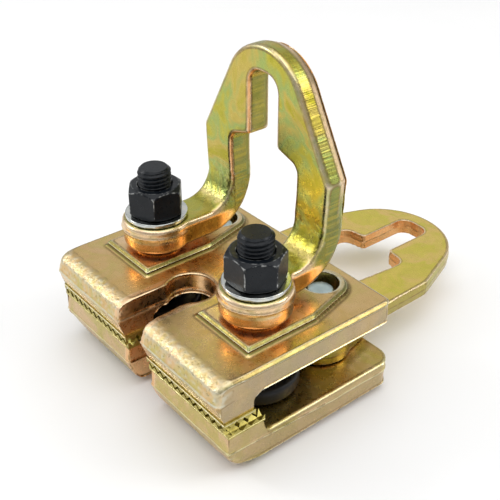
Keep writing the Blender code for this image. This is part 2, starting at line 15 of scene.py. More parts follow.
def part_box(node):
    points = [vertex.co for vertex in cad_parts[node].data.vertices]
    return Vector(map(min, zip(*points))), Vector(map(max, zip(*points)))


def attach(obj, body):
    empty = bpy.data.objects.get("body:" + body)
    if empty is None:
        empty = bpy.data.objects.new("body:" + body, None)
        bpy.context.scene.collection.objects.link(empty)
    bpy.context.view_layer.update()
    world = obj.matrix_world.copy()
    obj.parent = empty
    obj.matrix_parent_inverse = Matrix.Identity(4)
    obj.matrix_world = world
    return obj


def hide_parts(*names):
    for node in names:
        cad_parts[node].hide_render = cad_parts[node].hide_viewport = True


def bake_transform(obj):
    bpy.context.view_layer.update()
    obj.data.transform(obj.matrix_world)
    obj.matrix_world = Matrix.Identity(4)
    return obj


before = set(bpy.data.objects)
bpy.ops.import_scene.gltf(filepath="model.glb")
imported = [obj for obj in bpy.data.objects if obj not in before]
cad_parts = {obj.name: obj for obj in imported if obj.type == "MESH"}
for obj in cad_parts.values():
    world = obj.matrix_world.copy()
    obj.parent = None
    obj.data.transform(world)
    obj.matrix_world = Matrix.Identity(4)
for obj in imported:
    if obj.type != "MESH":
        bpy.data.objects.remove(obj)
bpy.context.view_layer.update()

MM = 0.001
GAP = 0.3 * MM  # between two pieces that touch
OVERCUT = 2.0 * MM  # how far a cutter reaches past a face
SIDES = (("right", 1), ("left", -1))

# Stations along Y.
MOUTH_Y = -100.0 * MM  # foremost ridge of the upper jaw
LOWER_FRONT_Y = MOUTH_Y + 4.0 * MM
LIP_BACK_Y = MOUTH_Y + 20.7 * MM
LOWER_LIP_BACK_Y = MOUTH_Y + 24.5 * MM
KEYHOLE_Y = MOUTH_Y + 35.0 * MM
BOLT_Y = MOUTH_Y + 42.9 * MM
PIN_Y = MOUTH_Y + 81.0 * MM
UPPER_REAR_Y = MOUTH_Y + 99.5 * MM
LOWER_REAR_Y = MOUTH_Y + 103.2 * MM
RING_FRONT_Y = MOUTH_Y + 76.6 * MM
EYE_ARC_Y = MOUTH_Y + 164.5 * MM
EYE_TIP_RADIUS = 35.5 * MM

# Heights.
LOWER_BOTTOM = 3.2 * MM
LOWER_TOP = 16.8 * MM
LOWER_PARTING_Z = 15.5 * MM  # at the front; lower towards the rear
LOWER_LIP_TOP = 24.9 * MM
UPPER_LIP_BOTTOM = 30.2 * MM
UPPER_UNDERSIDE = 39.2 * MM
UPPER_RIDGE_Z = 41.4 * MM
UPPER_TOP = 50.4 * MM
PAD_TOP = 53.6 * MM
FOOT_TOP = 69.4 * MM
EYE_BOTTOM = LOWER_TOP + 0.6 * MM
EYE_TOP = 26.0 * MM

# Jaws.
UPPER_HALF_WIDTH = 65.8 * MM
LOWER_HALF_WIDTH = 67.2 * MM
NOSE_RADIUS = 9.0 * MM
THROAT_RADIUS = 4.0 * MM
UPPER_CHAMFER = 2.2 * MM
LOWER_FILLET = 2.5 * MM
LOWER_EDGE_RADIUS = 2.6 * MM
REAR_CORNER_RADIUS = 9.5 * MM
SLOT_HALF_WIDTH = 8.4 * MM
KEYHOLE_RADIUS = 11.0 * MM
TOOTH_HEIGHT = 2.2 * MM
TEETH_ACROSS = 13
TEETH_DEEP = 4
PAD_HALF_WIDTH = 18.2 * MM
PAD_REACH = 19.0 * MM
PAD_END_RADIUS = 12.8 * MM
PAD_CHAMFER = 1.9 * MM
UNDER_PAD_RADIUS = 20.0 * MM

# Bolts, nuts, washers, pins, cushions and springs.
BOLT_X = 37.5 * MM
BOLTS = (("right", BOLT_X), ("left", -BOLT_X))
BOLT_RADIUS = 7.9 * MM
BOLT_TOP = 94.8 * MM
THREAD_PITCH = 2.0 * MM
THREAD_ROOT_RADIUS = 6.8 * MM
THREAD_BOTTOM = 62.0 * MM
THREAD_CHAMFER = 1.7 * MM
CREST_SHARE = 0.07  # half of the flat crest, as a share of the pitch
FLANK_SHARE = 0.34
HEX_ACROSS_FLATS = 24.0 * MM
HEX_CHAMFER_ANGLE = 38.0
NUT_TURN = 12.0  # degrees; each nut is turned NUT_TURN_APART more or less than this
NUT_TURN_APART = 19.0
HEAD_HEIGHT = 10.0 * MM
HEAD_SEAT = 11.4 * MM
BOLT_HOLE_RADIUS = 9.2 * MM
NUT_HEIGHT = 14.2 * MM
NUT_BORE_RADIUS = BOLT_RADIUS + GAP
WASHER_RADIUS = 15.0 * MM
WASHER_BORE_RADIUS = 8.5 * MM
WASHER_THICKNESS = 2.0 * MM
PIN_RADIUS = 6.0 * MM
PIN_TOP = 50.0 * MM
PIN_BOTTOM = 5.0 * MM
SHOULDER_RADIUS = 11.0 * MM
PIN_HOLE_RADIUS = 8.4 * MM
CUSHION_RADIUS = 20.0 * MM
CUSHION_HEIGHT = 8.4 * MM
CUSHION_EDGE = 2.0 * MM
CUSHION_FRONT_Y = LOWER_LIP_BACK_Y + 4.2 * MM
SPRING_RADIUS = 11.5 * MM
SPRING_WIRE_RADIUS = 1.3 * MM
SPRING_TURNS = 3.5

# Pull ring.
RING_THICKNESS = 12.6 * MM
RING_CHAMFER = 1.7 * MM
RING_ROLLOVER = 1.4 * MM
RING_MID_Y = RING_FRONT_Y + RING_THICKNESS / 2
RING_BREAK_Y = RING_FRONT_Y + 7.4 * MM
REAR_SLOPE = 0.32
BEND_RADIUS = 14.0 * MM
LEG_INNER_X = 21.8 * MM
LEG_OUTER_X = 42.4 * MM
RING_CORNER_X = 43.6 * MM
RING_CORNER_Z = 105.6 * MM
RING_ARC_Z = 128.2 * MM
RING_ARC_RADIUS = 27.0 * MM
CHAIN_SLOT_HALF_WIDTH = 9.3 * MM
CHAIN_SLOT_TOP = 143.0 * MM
CHAIN_SLOT_CORNER = 7.0 * MM
CHAIN_SHOULDER_Z = 110.6 * MM
CHAIN_EYE_HALF_WIDTH = 22.8 * MM
FOOT_RADIUS = 17.5 * MM
FOOT_RIDGE_Z = 64.8 * MM
FOOT_BOTTOM = 55.6 * MM
BALL_RADIUS = 12.5 * MM
SEAT_MOUTH_RADIUS = 13.8 * MM
BALL_Z = 60.0 * MM

# Flat pull eye.
EYE_CHAMFER = 1.2 * MM
EYE_CORNER_X = 42.6 * MM
EYE_CORNER_Y = MOUTH_Y + 152.0 * MM
EYE_ROOT_X = 43.4 * MM
EYE_ROOT_Y = MOUTH_Y + 121.0 * MM
EAR_RADIUS = 16.2 * MM
EYE_SLOT_HALF_WIDTH = 9.0 * MM
EYE_SLOT_END_Y = MOUTH_Y + 190.4 * MM
EYE_SHOULDER_Y = MOUTH_Y + 158.0 * MM
EYE_WIDE_HALF_WIDTH = 21.5 * MM
EYE_OPENING_FRONT_Y = MOUTH_Y + 113.0 * MM
EYE_CORNER_RADIUS = 6.0 * MM

# Finish of the forged surfaces.
VOXEL = 0.6 * MM  # cell of the forgings
NUT_CELL = 0.3 * MM
PARTING_HEIGHT = 0.6 * MM
PARTING_WIDTH = 0.5 * MM
DRAFT = math.tan(math.radians(2.5))

# Tints of the passivated zinc and of the marks in it; some serve as painted shade and painted reflection,
# as noted.
# PINKISH and COPPERY are also painted reflection on the ring's feet and the upper jaw's ball seats;
# DARK_BROWN is painted shade on the ring's strap sides.
PINKISH = (0.84, 0.60, 0.36)
COPPERY = (0.90, 0.44, 0.16)
DARK_BROWN = (0.13, 0.065, 0.006)
GREENISH = (0.23, 0.24, 0.07)
CLOUD = (0.42, 0.31, 0.08)
SPECK = (0.34, 0.25, 0.10)
# Painted shade: dark lines beside proud edges.
EDGE_SHADE = (0.20, 0.12, 0.03)
# Painted shade in hollows.
HOLLOW_SHADE = (0.16, 0.10, 0.03)
# Painted shade in the dents of the grain.
PIT_SHADE = (0.24, 0.19, 0.07)
SHEAR_MARK = (0.42, 0.34, 0.06)

# Stage and camera.
FLOOR_HALF = 3.0
LIT_POINT = Vector((0.0, 0.0, 0.05))
CAMERA_PLACE = Vector((0.2775, -0.2541, 0.2820))
CAMERA_FORWARD = Vector((-0.6578, 0.5310, -0.5341)).normalized()
LENS = 64.05
SENSOR_WIDTH = 36.0
SKY_LIGHT = 0.45


# ---- shapes


def arc(centre_a, centre_b, radius, start, end, steps):
    """Points along an arc in degrees, both ends included."""
    angles = [math.radians(start + (end - start) * step / steps) for step in range(steps + 1)]
    return [(centre_a + radius * math.cos(t), centre_b + radius * math.sin(t)) for t in angles]


def mirrored(points):
    """The points followed by their mirror images across the first axis, as one closed loop."""
    return points + [(-a, b) for a, b in reversed(points) if abs(a) > 1e-9]


def add_object(name, data):
    made = bpy.data.objects.new(name, data)
    bpy.context.scene.collection.objects.link(made)
    return made


def mesh_from(name, vertices, faces):
    """An object from vertices and faces, with its faces turned outwards."""
    mesh = bpy.data.meshes.new(name)
    mesh.from_pydata([tuple(v) for v in vertices], [], faces)
    shape = bmesh.new()
    shape.from_mesh(mesh)
    bmesh.ops.recalc_face_normals(shape, faces=shape.faces)
    shape.to_mesh(mesh)
    shape.free()
    return add_object(name, mesh)


def middle_of(edge):
    return (edge.verts[0].co + edge.verts[1].co) / 2


def prism(name, loop, plane, low, high, bevels=()):
    """A flat outline extruded from low to high along the axis across its plane.

    Each of bevels is (size, segments, test): the end edges whose midpoints pass the test are bevelled.
    """
    axes = ["XYZ".index(letter) for letter in plane]
    across = 3 - sum(axes)
    shape = bmesh.new()
    rings = []
    for level in (low, high):
        ring = []
        for a, b in loop:
            point = [0.0, 0.0, 0.0]
            point[axes[0]], point[axes[1]], point[across] = a, b, level
            ring.append(shape.verts.new(point))
        rings.append(ring)
    shape.faces.new(rings[0])
    shape.faces.new(rings[1])
    count = len(loop)
    for i in range(count):
        j = (i + 1) % count
        shape.faces.new((rings[0][i], rings[0][j], rings[1][j], rings[1][i]))
    bmesh.ops.recalc_face_normals(shape, faces=shape.faces)
    ends = [edge for edge in shape.edges if edge.verts[0].co[across] == edge.verts[1].co[across]]
    for size, segments, test in bevels:
        picked = [edge for edge in ends if edge.is_valid and test(middle_of(edge))]
        settings = {"offset": size, "segments": segments, "profile": 0.5, "affect": "EDGES"}
        bmesh.ops.bevel(shape, geom=picked, clamp_overlap=False, **settings)
    bmesh.ops.recalc_face_normals(shape, faces=shape.faces)
    mesh = bpy.data.meshes.new(name)
    shape.to_mesh(mesh)
    shape.free()
    return add_object(name, mesh)


def turned(name, profile, x, y, steps=64, ring=False):
    """A profile of (radius, height) points turned about a vertical axis at x, y."""
    vertices, rows, faces = [], [], []
    turns = [2 * math.pi * step / steps for step in range(steps)]
    for radius, height in profile:
        first = len(vertices)
        if radius < 1e-9:
            rows.append([first] * steps)
            vertices.append((x, y, height))
        else:
            rows.append([first + step for step in range(steps)])
            vertices += [(x + radius * math.cos(t), y + radius * math.sin(t), height) for t in turns]
    pairs = list(zip(rows, rows[1:]))
    if ring:
        pairs.append((rows[-1], rows[0]))
    for upper, lower in pairs:
        for i in range(steps):
            j = (i + 1) % steps
            corners = list(dict.fromkeys((upper[i], upper[j], lower[j], lower[i])))
            if len(corners) > 2:
                faces.append(corners)
    return mesh_from(name, vertices, faces)


def plug(name, radius, top, bottom, x, y, steps=64):
    """A plain round bar, to join on or to cut a hole with."""
    return turned(name, [(0, top), (radius, top), (radius, bottom), (0, bottom)], x, y, steps)


def hexagon(x, across_flats, turn=0.0):
    """Plan of a hexagon round a bolt's axis, whose first corner is on +Y, then turned by an angle."""
    radius = across_flats / math.sqrt(3)
    angles = [math.pi / 2 + turn + math.pi * k / 3 for k in range(6)]
    return [(x + radius * math.cos(t), BOLT_Y + radius * math.sin(t)) for t in angles]


def settle(thing):
    """Turns an object's modifiers into its mesh."""
    graph = bpy.context.evaluated_depsgraph_get()
    mesh = bpy.data.meshes.new_from_object(thing.evaluated_get(graph))
    thing.modifiers.clear()
    old, thing.data = thing.data, mesh
    bpy.data.meshes.remove(old)


def combine(target, operation, *others):
    for other in others:
        change = target.modifiers.new(other.name, "BOOLEAN")
        change.operation = operation
        change.solver = "EXACT"
        change.object = other
    settle(target)
    for other in others:
        bpy.data.objects.remove(other)


def merge(target, *others):
    """Adds the other objects' meshes to the target's as they are."""
    shape = bmesh.new()
    for thing in (target, *others):
        shape.from_mesh(thing.data)
    shape.to_mesh(target.data)
    shape.free()
    for other in others:
        bpy.data.objects.remove(other)


# ---- forged surfaces


def points_of(thing):
    flat = np.empty(len(thing.data.vertices) * 3)
    thing.data.vertices.foreach_get("co", flat)
    return flat.reshape(-1, 3)


def normals_of(thing):
    flat = np.empty(len(thing.data.vertices) * 3)
    thing.data.vertex_normals.foreach_get("vector", flat)
    return flat.reshape(-1, 3)


def places(thing):
    """The x, y and z of every vertex, and how wide of the middle plane it is."""
    x, y, z = points_of(thing).T
    return x, y, z, np.abs(x)


def set_points(thing, points):
    thing.data.vertices.foreach_set("co", points.ravel())
    thing.data.update()


def value_noise(points, size, seed):
    """Smooth noise from -1 to 1, with lumps about one size across. The same seed gives the same lumps."""
    scaled = points / size + 1000.0
    cell = np.floor(scaled).astype(np.int64)
    share = scaled - cell
    share = share * share * (3 - 2 * share)
    total = np.zeros(len(points))
    for corner in itertools.product((0, 1), repeat=3):
        at = cell + np.array(corner)
        # The large odd numbers only scramble the bits of a cell's place and the seed.
        mixed = at[:, 0] * 73856093 ^ at[:, 1] * 19349663 ^ at[:, 2] * 83492791 ^ seed * 2654435761
        mixed = (mixed ^ (mixed >> 13)) * 1274126177 & 0x7FFFFFFF
        mixed = (mixed ^ (mixed >> 15)) * 461845907 & 0x7FFFFFFF
        weight = np.prod(np.where(corner, share, 1 - share), axis=1)
        total += weight * (mixed / 0x3FFFFFFF - 1)
    return total


def relaxed(thing, passes, weight=None):
    """A mesh's points after smoothing, each vertex by its own weight."""
    points, edges = points_of(thing), thing.data.edges
    count = len(points)
    ends = np.empty(len(edges) * 2, dtype=np.int64)
    edges.foreach_get("vertices", ends)
    first, second = ends.reshape(-1, 2).T
    degree = np.bincount(first, minlength=count) + np.bincount(second, minlength=count)
    share = 0.5 * (np.ones(count) if weight is None else weight)[:, None]
    for _ in range(passes):
        total = np.empty_like(points)
        for k in range(3):
            total[:, k] = np.bincount(first, points[second, k], count)
            total[:, k] += np.bincount(second, points[first, k], count)
        points += share * (total / degree[:, None] - points)
    return points


def relax(thing, passes, weight=None):
    set_points(thing, relaxed(thing, passes, weight))


def mark(thing, name, values):
    attribute = thing.data.attributes.new(name, "FLOAT", "POINT")
    attribute.data.foreach_set("value", np.ascontiguousarray(values, dtype=np.float32))


def mark_wear_and_shading(thing, extra=0.0, grain=0.0, cell=VOXEL):
    """Writes how far each vertex stands proud of its surroundings, in cells: edges above 0, hollows below.
    The zinc lightens proud edges as rubbing and a painted highlight, and darkens hollows as painted shade.

    extra is added on top of that: on the upper jaw's nose it paints a highlight, on a nut it takes the
    rubbing away next to the washer. grain is how coarse the surface is, from 0 to 1.
    """
    proud = ((points_of(thing) - relaxed(thing, 12)) * normals_of(thing)).sum(axis=1) / cell
    mark(thing, "wear_and_shading", proud + extra)
    mark(thing, "grain", proud * 0 + grain)


def forge(thing, passes, cell=VOXEL):
    """Rebuilds a solid from small even cells and takes the sharpness off its edges."""
    cells = thing.modifiers.new("cells", "REMESH")
    cells.mode = "VOXEL"
    cells.voxel_size = cell
    settle(thing)
    relax(thing, passes)


def ramp(value, low, high):
    """0 at low and beyond, 1 at high and beyond, and smooth between."""
    share = np.clip((value - low) / (high - low), 0, 1)
    return share * share * (3 - 2 * share)


def past(value, base, low, high):
    """0 at low millimetres past a base and beyond, 1 at high millimetres and beyond, and smooth between."""
    return ramp(value, base + low * MM, base + high * MM)


def outward(thing, axis):
    """Each vertex's direction away from its wall, square to an axis, and how steep the wall is, 0 to 1."""
    out = normals_of(thing)
    out[:, axis] = 0
    steep = np.linalg.norm(out, axis=1)
    return out / np.maximum(steep, 1e-9)[:, None], steep


def draft_sides(thing, parting, height=PARTING_HEIGHT, draft=DRAFT, share=1.0):
    """Slopes the upright walls away from the parting line, with a thin raised line of flash on it.

    parting gives the line's height for each vertex, and share how much of the flash is left.
    """
    points = points_of(thing)
    out, steep = outward(thing, 2)
    away = points[:, 2] - parting
    wander = 0.25 * MM * value_noise(points, 9 * MM, 5)
    flash = height * np.exp(-(((away + wander) / PARTING_WIDTH) ** 2))
    patchy = 0.8 + 0.2 * value_noise(points, 5 * MM, 6)
    shift = share * flash * patchy - height - draft * np.abs(away)
    set_points(thing, points + out * (ramp(steep, 0.75, 0.97) * shift)[:, None])


def hammer(thing, depth, seed, calm=0.03 * MM):
    """Presses shallow dents into a surface, as deep as depth says, over a slight general wave."""
    points, normals = points_of(thing), normals_of(thing)
    dents = 0.6 * value_noise(points, 2.4 * MM, seed) + 0.4 * value_noise(points, 1.3 * MM, seed + 1)
    wave = value_noise(points, 11 * MM, seed + 2)
    inwards = depth * (dents - 1) / 2 + calm * (wave - 1) / 2
    set_points(thing, points + normals * inwards[:, None])


def keep_inside(thing, node):
    """Holds a piece inside the box of the node that it stands for."""
    low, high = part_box(node)
    set_points(thing, np.clip(points_of(thing), np.array(low), np.array(high)))


def tooth_field(name, side, front, back, half_width, root, tip):
    """Crossed V grooves over one lip: rows of pyramids, cut through their tips at the edges."""
    inner = SLOT_HALF_WIDTH + 0.25 * MM
    outer = half_width - 0.45 * MM
    xs = side * np.linspace(inner, outer, 2 * TEETH_ACROSS + 1)
    ys = np.linspace(front, back, 2 * TEETH_DEEP + 1)
    vertices, faces = [], []
    rows, columns = len(ys), len(xs)
    for j, i in itertools.product(range(rows), range(columns)):
        height = tip if i % 2 == 0 and j % 2 == 0 else root
        vertices.append((xs[i], ys[j], height))
    for j, i in itertools.product(range(rows - 1), range(columns - 1)):
        a, b = j * columns + i, j * columns + i + 1
        c, d = b + columns, a + columns
        if (i + j) % 2 == 0:
            faces += [(a, b, c), (a, c, d)]
        else:
            faces += [(a, b, d), (b, c, d)]
    rim = list(range(columns))
    rim += [j * columns + columns - 1 for j in range(1, rows)]
    rim += [(rows - 1) * columns + i for i in range(columns - 2, -1, -1)]
    rim += [j * columns for j in range(rows - 2, 0, -1)]
    backing = root - math.copysign(1.2 * MM, tip - root)
    first = len(vertices)
    vertices += [(vertices[k][0], vertices[k][1], backing) for k in rim]
    count = len(rim)
    for k in range(count):
        n = (k + 1) % count
        faces.append((rim[k], rim[n], first + n, first + k))
    faces.append(tuple(first + k for k in range(count)))
    field = mesh_from(name, vertices, faces)
    field.data.polygons.foreach_set("material_index", [1] * len(field.data.polygons))
    return field


def add_teeth(jaw, front, back, half_width, root, tip):
    """Adds the teeth to a jaw's lip, on both sides of the slot."""
    for label, side in SIDES:
        merge(jaw, tooth_field(f"teeth_{label}", side, front, back, half_width, root, tip))


def keyhole_cutter(name, low, high):
    half_angle = math.degrees(math.asin(SLOT_HALF_WIDTH / KEYHOLE_RADIUS))
    round_end = arc(0, KEYHOLE_Y, KEYHOLE_RADIUS, half_angle - 90, 270 - half_angle, 60)
    mouth = MOUTH_Y - 10 * MM
    loop = [(-SLOT_HALF_WIDTH, mouth), (SLOT_HALF_WIDTH, mouth)] + round_end
    return prism(name, loop, "XY", low, high)


# ---- jaws


def keyhole_walls(wide, y):
    """1 on the walls of the keyhole slot, 0 elsewhere."""
    return past(wide, KEYHOLE_RADIUS, 2, 0.6) * past(y, KEYHOLE_Y, 15, 12)


def upper_profile():
    """Side view of the upper jaw: rounded nose, toothed lip, relieved underside."""
    return (
        [(UPPER_REAR_Y, UPPER_UNDERSIDE), (UPPER_REAR_Y, UPPER_TOP)]
        + arc(MOUTH_Y + NOSE_RADIUS, UPPER_TOP - NOSE_RADIUS, NOSE_RADIUS, 90, 180, 20)
        + [(MOUTH_Y + 3.6 * MM, UPPER_LIP_BOTTOM), (LIP_BACK_Y, UPPER_LIP_BOTTOM)]
        + arc(LIP_BACK_Y + THROAT_RADIUS, UPPER_UNDERSIDE - THROAT_RADIUS, THROAT_RADIUS, 180, 90, 10)
    )


def pad_outline(x):
    """The raised pad round a bolt and the pin hole behind it: a square front and a round back end."""
    low, high = x - PAD_HALF_WIDTH, x + PAD_HALF_WIDTH
    front, straight = BOLT_Y - PAD_REACH, BOLT_Y + PAD_REACH
    square = [(low, straight), (low, front), (high, front), (high, straight)]
    return square + arc(x, PIN_Y, PAD_END_RADIUS, 12, 168, 28)


def upper_soft_spots(jaw):
    """Where the upper jaw's edges are rounder: slot mouth, front corners, rear edge and keyhole rim."""
    x, y, z, wide = places(jaw)
    slot_edge = past(wide, SLOT_HALF_WIDTH, 5, 2)
    slot_edge *= past(y, MOUTH_Y, 26, 14) * past(z, UPPER_RIDGE_Z, -3.4, 0.6)
    corner = past(wide, UPPER_HALF_WIDTH, -5, -1)
    corner *= past(y, MOUTH_Y, 16, 8) * past(z, UPPER_RIDGE_Z, -5.4, -0.4)
    rear_edge = 0.5 * past(y, UPPER_REAR_Y, -4, -1)
    reach = np.hypot(x, y - KEYHOLE_Y)
    rim = 0.6 * past(reach, KEYHOLE_RADIUS, 4, 1) * past(z, UPPER_TOP, -7.4, -4.4)
    return np.max((slot_edge, corner, rear_edge, rim), axis=0)


def upper_tint_and_reflection(jaw):
    """The tint attribute: coppery keyhole walls, pinkish ball seats painted as the reflection of the ring's
    coppery feet on them, greenish bevels.
    """
    _, y, z, wide = places(jaw)
    # Pinkish round the ball seats: painted reflection of the feet that stand on them.
    seat_reflection = ramp(np.abs(wide - BOLT_X), 20 * MM, 12 * MM) * ramp(np.abs(y - BOLT_Y), 22 * MM, 12 * MM)
    seat_reflection *= past(z, UPPER_TOP, 0.6, 2.6)
    tilt = normals_of(jaw)[:, 2]
    slanted = ramp(tilt, 0.35, 0.5) * ramp(tilt, 0.97, 0.88)
    bevels = slanted * (z > UPPER_TOP + 0.5 * MM) * (np.hypot(wide - BOLT_X, y - BOLT_Y) > 14.5 * MM)
    bevels += 0.5 * slanted * past(wide, UPPER_HALF_WIDTH, -5.8, -2.8) * (z > UPPER_TOP - 3 * MM)
    walls_and_reflection = np.maximum(0.7 * keyhole_walls(wide, y), 0.5 * seat_reflection)
    return walls_and_reflection * (bevels < 0.1) - np.minimum(bevels, 1)


def build_upper_jaw():
    half = UPPER_HALF_WIDTH
    top_edges = (UPPER_CHAMFER, 1, lambda middle: middle.z > UPPER_RIDGE_Z)
    jaw = prism("upper_jaw_forging", upper_profile(), "YZ", -half, half, [top_edges])
    pad_edges = (PAD_CHAMFER, 1, lambda middle: middle.z > UPPER_TOP)
    pads = [
        prism(f"upper_pad_{label}", pad_outline(x), "XY", UPPER_TOP - 5 * MM, PAD_TOP, [pad_edges])
        for label, x in BOLTS
    ]
    combine(jaw, "UNION", *pads)
    top, bottom = PAD_TOP + OVERCUT, UPPER_UNDERSIDE - OVERCUT
    radius = BALL_RADIUS + GAP
    rim_z = BALL_Z - math.sqrt(radius**2 - BOLT_HOLE_RADIUS**2)
    end = math.degrees(math.asin((rim_z - BALL_Z) / radius))
    seat = [(0, top), (SEAT_MOUTH_RADIUS, top)] + arc(0, BALL_Z, radius, end + 8, end, 10)
    seat += [(BOLT_HOLE_RADIUS, bottom), (0, bottom)]
    cutters = [keyhole_cutter("upper_keyhole", 20 * MM, 60 * MM)]
    for label, x in BOLTS:
        cutters.append(turned(f"ball_seat_{label}", seat, x, BOLT_Y, 72))
        cutters.append(plug(f"pin_hole_{label}", PIN_HOLE_RADIUS, top, bottom, x, PIN_Y, 56))
    combine(jaw, "DIFFERENCE", *cutters)
    forge(jaw, 3)
    relax(jaw, 26, upper_soft_spots(jaw))
    side = past(places(jaw)[3], half, -3, -1)
    draft_sides(jaw, UPPER_RIDGE_Z, share=1 - 0.85 * side)
    _, y, z, _ = places(jaw)
    nose = past(y, MOUTH_Y, 11, 5) * past(z, UPPER_RIDGE_Z, -1, 1.6)
    hammer(jaw, 0.02 * MM + 0.36 * MM * nose, 11)
    # On the nose the extra paints a silver highlight; the grain follows the hammered nose.
    mark_wear_and_shading(jaw, 0.18 * nose, nose)
    mark(jaw, "tint_reflection_shade", upper_tint_and_reflection(jaw))
    root, tip = UPPER_LIP_BOTTOM - 0.05 * MM, UPPER_LIP_BOTTOM - TOOTH_HEIGHT
    add_teeth(jaw, MOUTH_Y + 3.9 * MM, LIP_BACK_Y - 0.4 * MM, half, root, tip)
    return jaw


def lower_profile():
    """Side view of the lower jaw: toothed lip, relieved top, front rounded under the parting line."""
    front, fillet = LOWER_FRONT_Y, LOWER_FILLET
    return (
        [(LOWER_REAR_Y, LOWER_BOTTOM), (LOWER_REAR_Y, LOWER_TOP)]
        + arc(LOWER_LIP_BACK_Y + MM + fillet, LOWER_TOP + fillet, fillet, 270, 190, 8)
        + [(LOWER_LIP_BACK_Y, LOWER_LIP_TOP), (front + 0.6 * MM, LOWER_LIP_TOP)]
        + [(front, LOWER_PARTING_Z), (front + 1.2 * MM, 11 * MM)]
        + [(front + 3.4 * MM, 7.2 * MM), (front + 5.6 * MM, 4.6 * MM), (front + 8 * MM, LOWER_BOTTOM)]
    )


def soft_edge(middle):
    """Is an edge of the lower jaw behind the lip, underneath or at the rear?"""
    behind_lip = middle.z < LOWER_TOP + MM and middle.y > LOWER_LIP_BACK_Y + 2 * MM
    return behind_lip or middle.z < LOWER_BOTTOM + MM or middle.y > LOWER_REAR_Y - MM


def build_lower_jaw():
    half, rear, corner = LOWER_HALF_WIDTH, LOWER_REAR_Y, REAR_CORNER_RADIUS
    edges = [(LOWER_EDGE_RADIUS, 6, soft_edge)]
    jaw = prism("lower_jaw_forging", lower_profile(), "YZ", -half, half, edges)
    plan = mirrored(
        [(half + MM, MOUTH_Y), (half + MM, rear - corner - 9 * MM)]
        + arc(half - corner, rear - corner, corner, 0, 90, 20)
    )
    combine(jaw, "INTERSECT", prism("rear_corners", plan, "XY", -5 * MM, 60 * MM))
    root, flare = LOWER_TOP - 2 * MM, UNDER_PAD_RADIUS + 1.6 * MM
    foot = [(0, root), (flare, root), (flare, LOWER_BOTTOM), (UNDER_PAD_RADIUS, 0), (0, 0)]
    feet = [turned(f"under_pad_{label}", foot, x, BOLT_Y, 96) for label, x in BOLTS]
    combine(jaw, "UNION", *feet)
    top = LOWER_TOP + OVERCUT
    cutters = [keyhole_cutter("lower_keyhole", -5 * MM, 32 * MM)]
    for label, x in BOLTS:
        pocket = hexagon(x, HEX_ACROSS_FLATS + 2 * GAP)
        cutters += [
            plug(f"shank_hole_{label}", BOLT_RADIUS + GAP, top, HEAD_SEAT - MM, x, BOLT_Y),
            prism(f"head_pocket_{label}", pocket, "XY", -OVERCUT, HEAD_SEAT),
            plug(f"pin_bore_{label}", PIN_RADIUS + GAP, top, PIN_BOTTOM - GAP, x, PIN_Y),
        ]
    combine(jaw, "DIFFERENCE", *cutters)
    forge(jaw, 3)
    _, y, z, wide = places(jaw)
    rear_edge = past(y, rear, -6, -2)
    slot_edge = past(wide, SLOT_HALF_WIDTH, 3, 1)
    slot_edge *= past(y, LOWER_FRONT_Y, 4, 2)
    relax(jaw, 14, np.maximum(rear_edge, slot_edge))
    low_corner = past(z, LOWER_PARTING_Z, -2, -5.5) * past(y, LOWER_FRONT_Y, 18, 8)
    relax(jaw, 150, low_corner * past(wide, half, -14, -6))
    run = np.clip((y - LOWER_FRONT_Y) / (60 * MM), 0, 1)
    draft_sides(jaw, LOWER_PARTING_Z - 3 * MM * run)
    hammer(jaw, 0.05 * MM, 21)
    mark_wear_and_shading(jaw)
    x, y, _, wide = places(jaw)
    walls = keyhole_walls(wide, y)
    left_front = ramp(x, 0, -15 * MM) * past(y, MOUTH_Y, 18, 10)
    mark(jaw, "tint_reflection_shade", np.where(walls > 0.1, 0.75 * walls, -0.25 * left_front))
    root, tip = LOWER_LIP_TOP + 0.05 * MM, LOWER_LIP_TOP + TOOTH_HEIGHT
    add_teeth(jaw, LOWER_FRONT_Y + 0.9 * MM, LOWER_LIP_BACK_Y - 0.4 * MM, half, root, tip)
    return jaw


# ---- pull ring and pull eye


def ring_outline():
    """Front view of the upright ring above its bends: an arch with a chain slot over a wide eye."""
    leg_bottom = FOOT_TOP + BEND_RADIUS - 2 * MM
    flank = math.atan2(RING_ARC_Z - RING_CORNER_Z, RING_CORNER_X)
    reach = math.hypot(RING_CORNER_X, RING_ARC_Z - RING_CORNER_Z)
    touch = math.degrees(math.acos(RING_ARC_RADIUS / reach) - flank)
    shoulder_x = CHAIN_EYE_HALF_WIDTH - 5 * MM
    shoulder_z = CHAIN_SHOULDER_Z - 7.4 * MM
    slot_round_z = CHAIN_SLOT_TOP - CHAIN_SLOT_CORNER
    outer = [(LEG_OUTER_X, leg_bottom), (RING_CORNER_X, RING_CORNER_Z)]
    outer += arc(0, RING_ARC_Z, RING_ARC_RADIUS, touch, 180 - touch, 60)
    outer += [(-RING_CORNER_X, RING_CORNER_Z), (-LEG_OUTER_X, leg_bottom)]
    right = [(LEG_INNER_X, leg_bottom), (CHAIN_EYE_HALF_WIDTH, FOOT_TOP + 27 * MM)]
    right += arc(shoulder_x, shoulder_z, 5 * MM, 0, 80, 10)
    right += arc(CHAIN_SLOT_HALF_WIDTH + 2 * MM, CHAIN_SHOULDER_Z + 1.9 * MM, 2 * MM, 260, 180, 5)
    slot_round_x = CHAIN_SLOT_HALF_WIDTH - CHAIN_SLOT_CORNER
    top_right = arc(slot_round_x, slot_round_z, CHAIN_SLOT_CORNER, 0, 90, 12)
    top_left = [(-a, b) for a, b in reversed(top_right)]
    left = [(-a, b) for a, b in right]
    return outer + left + list(reversed(top_right + top_left)) + list(reversed(right))


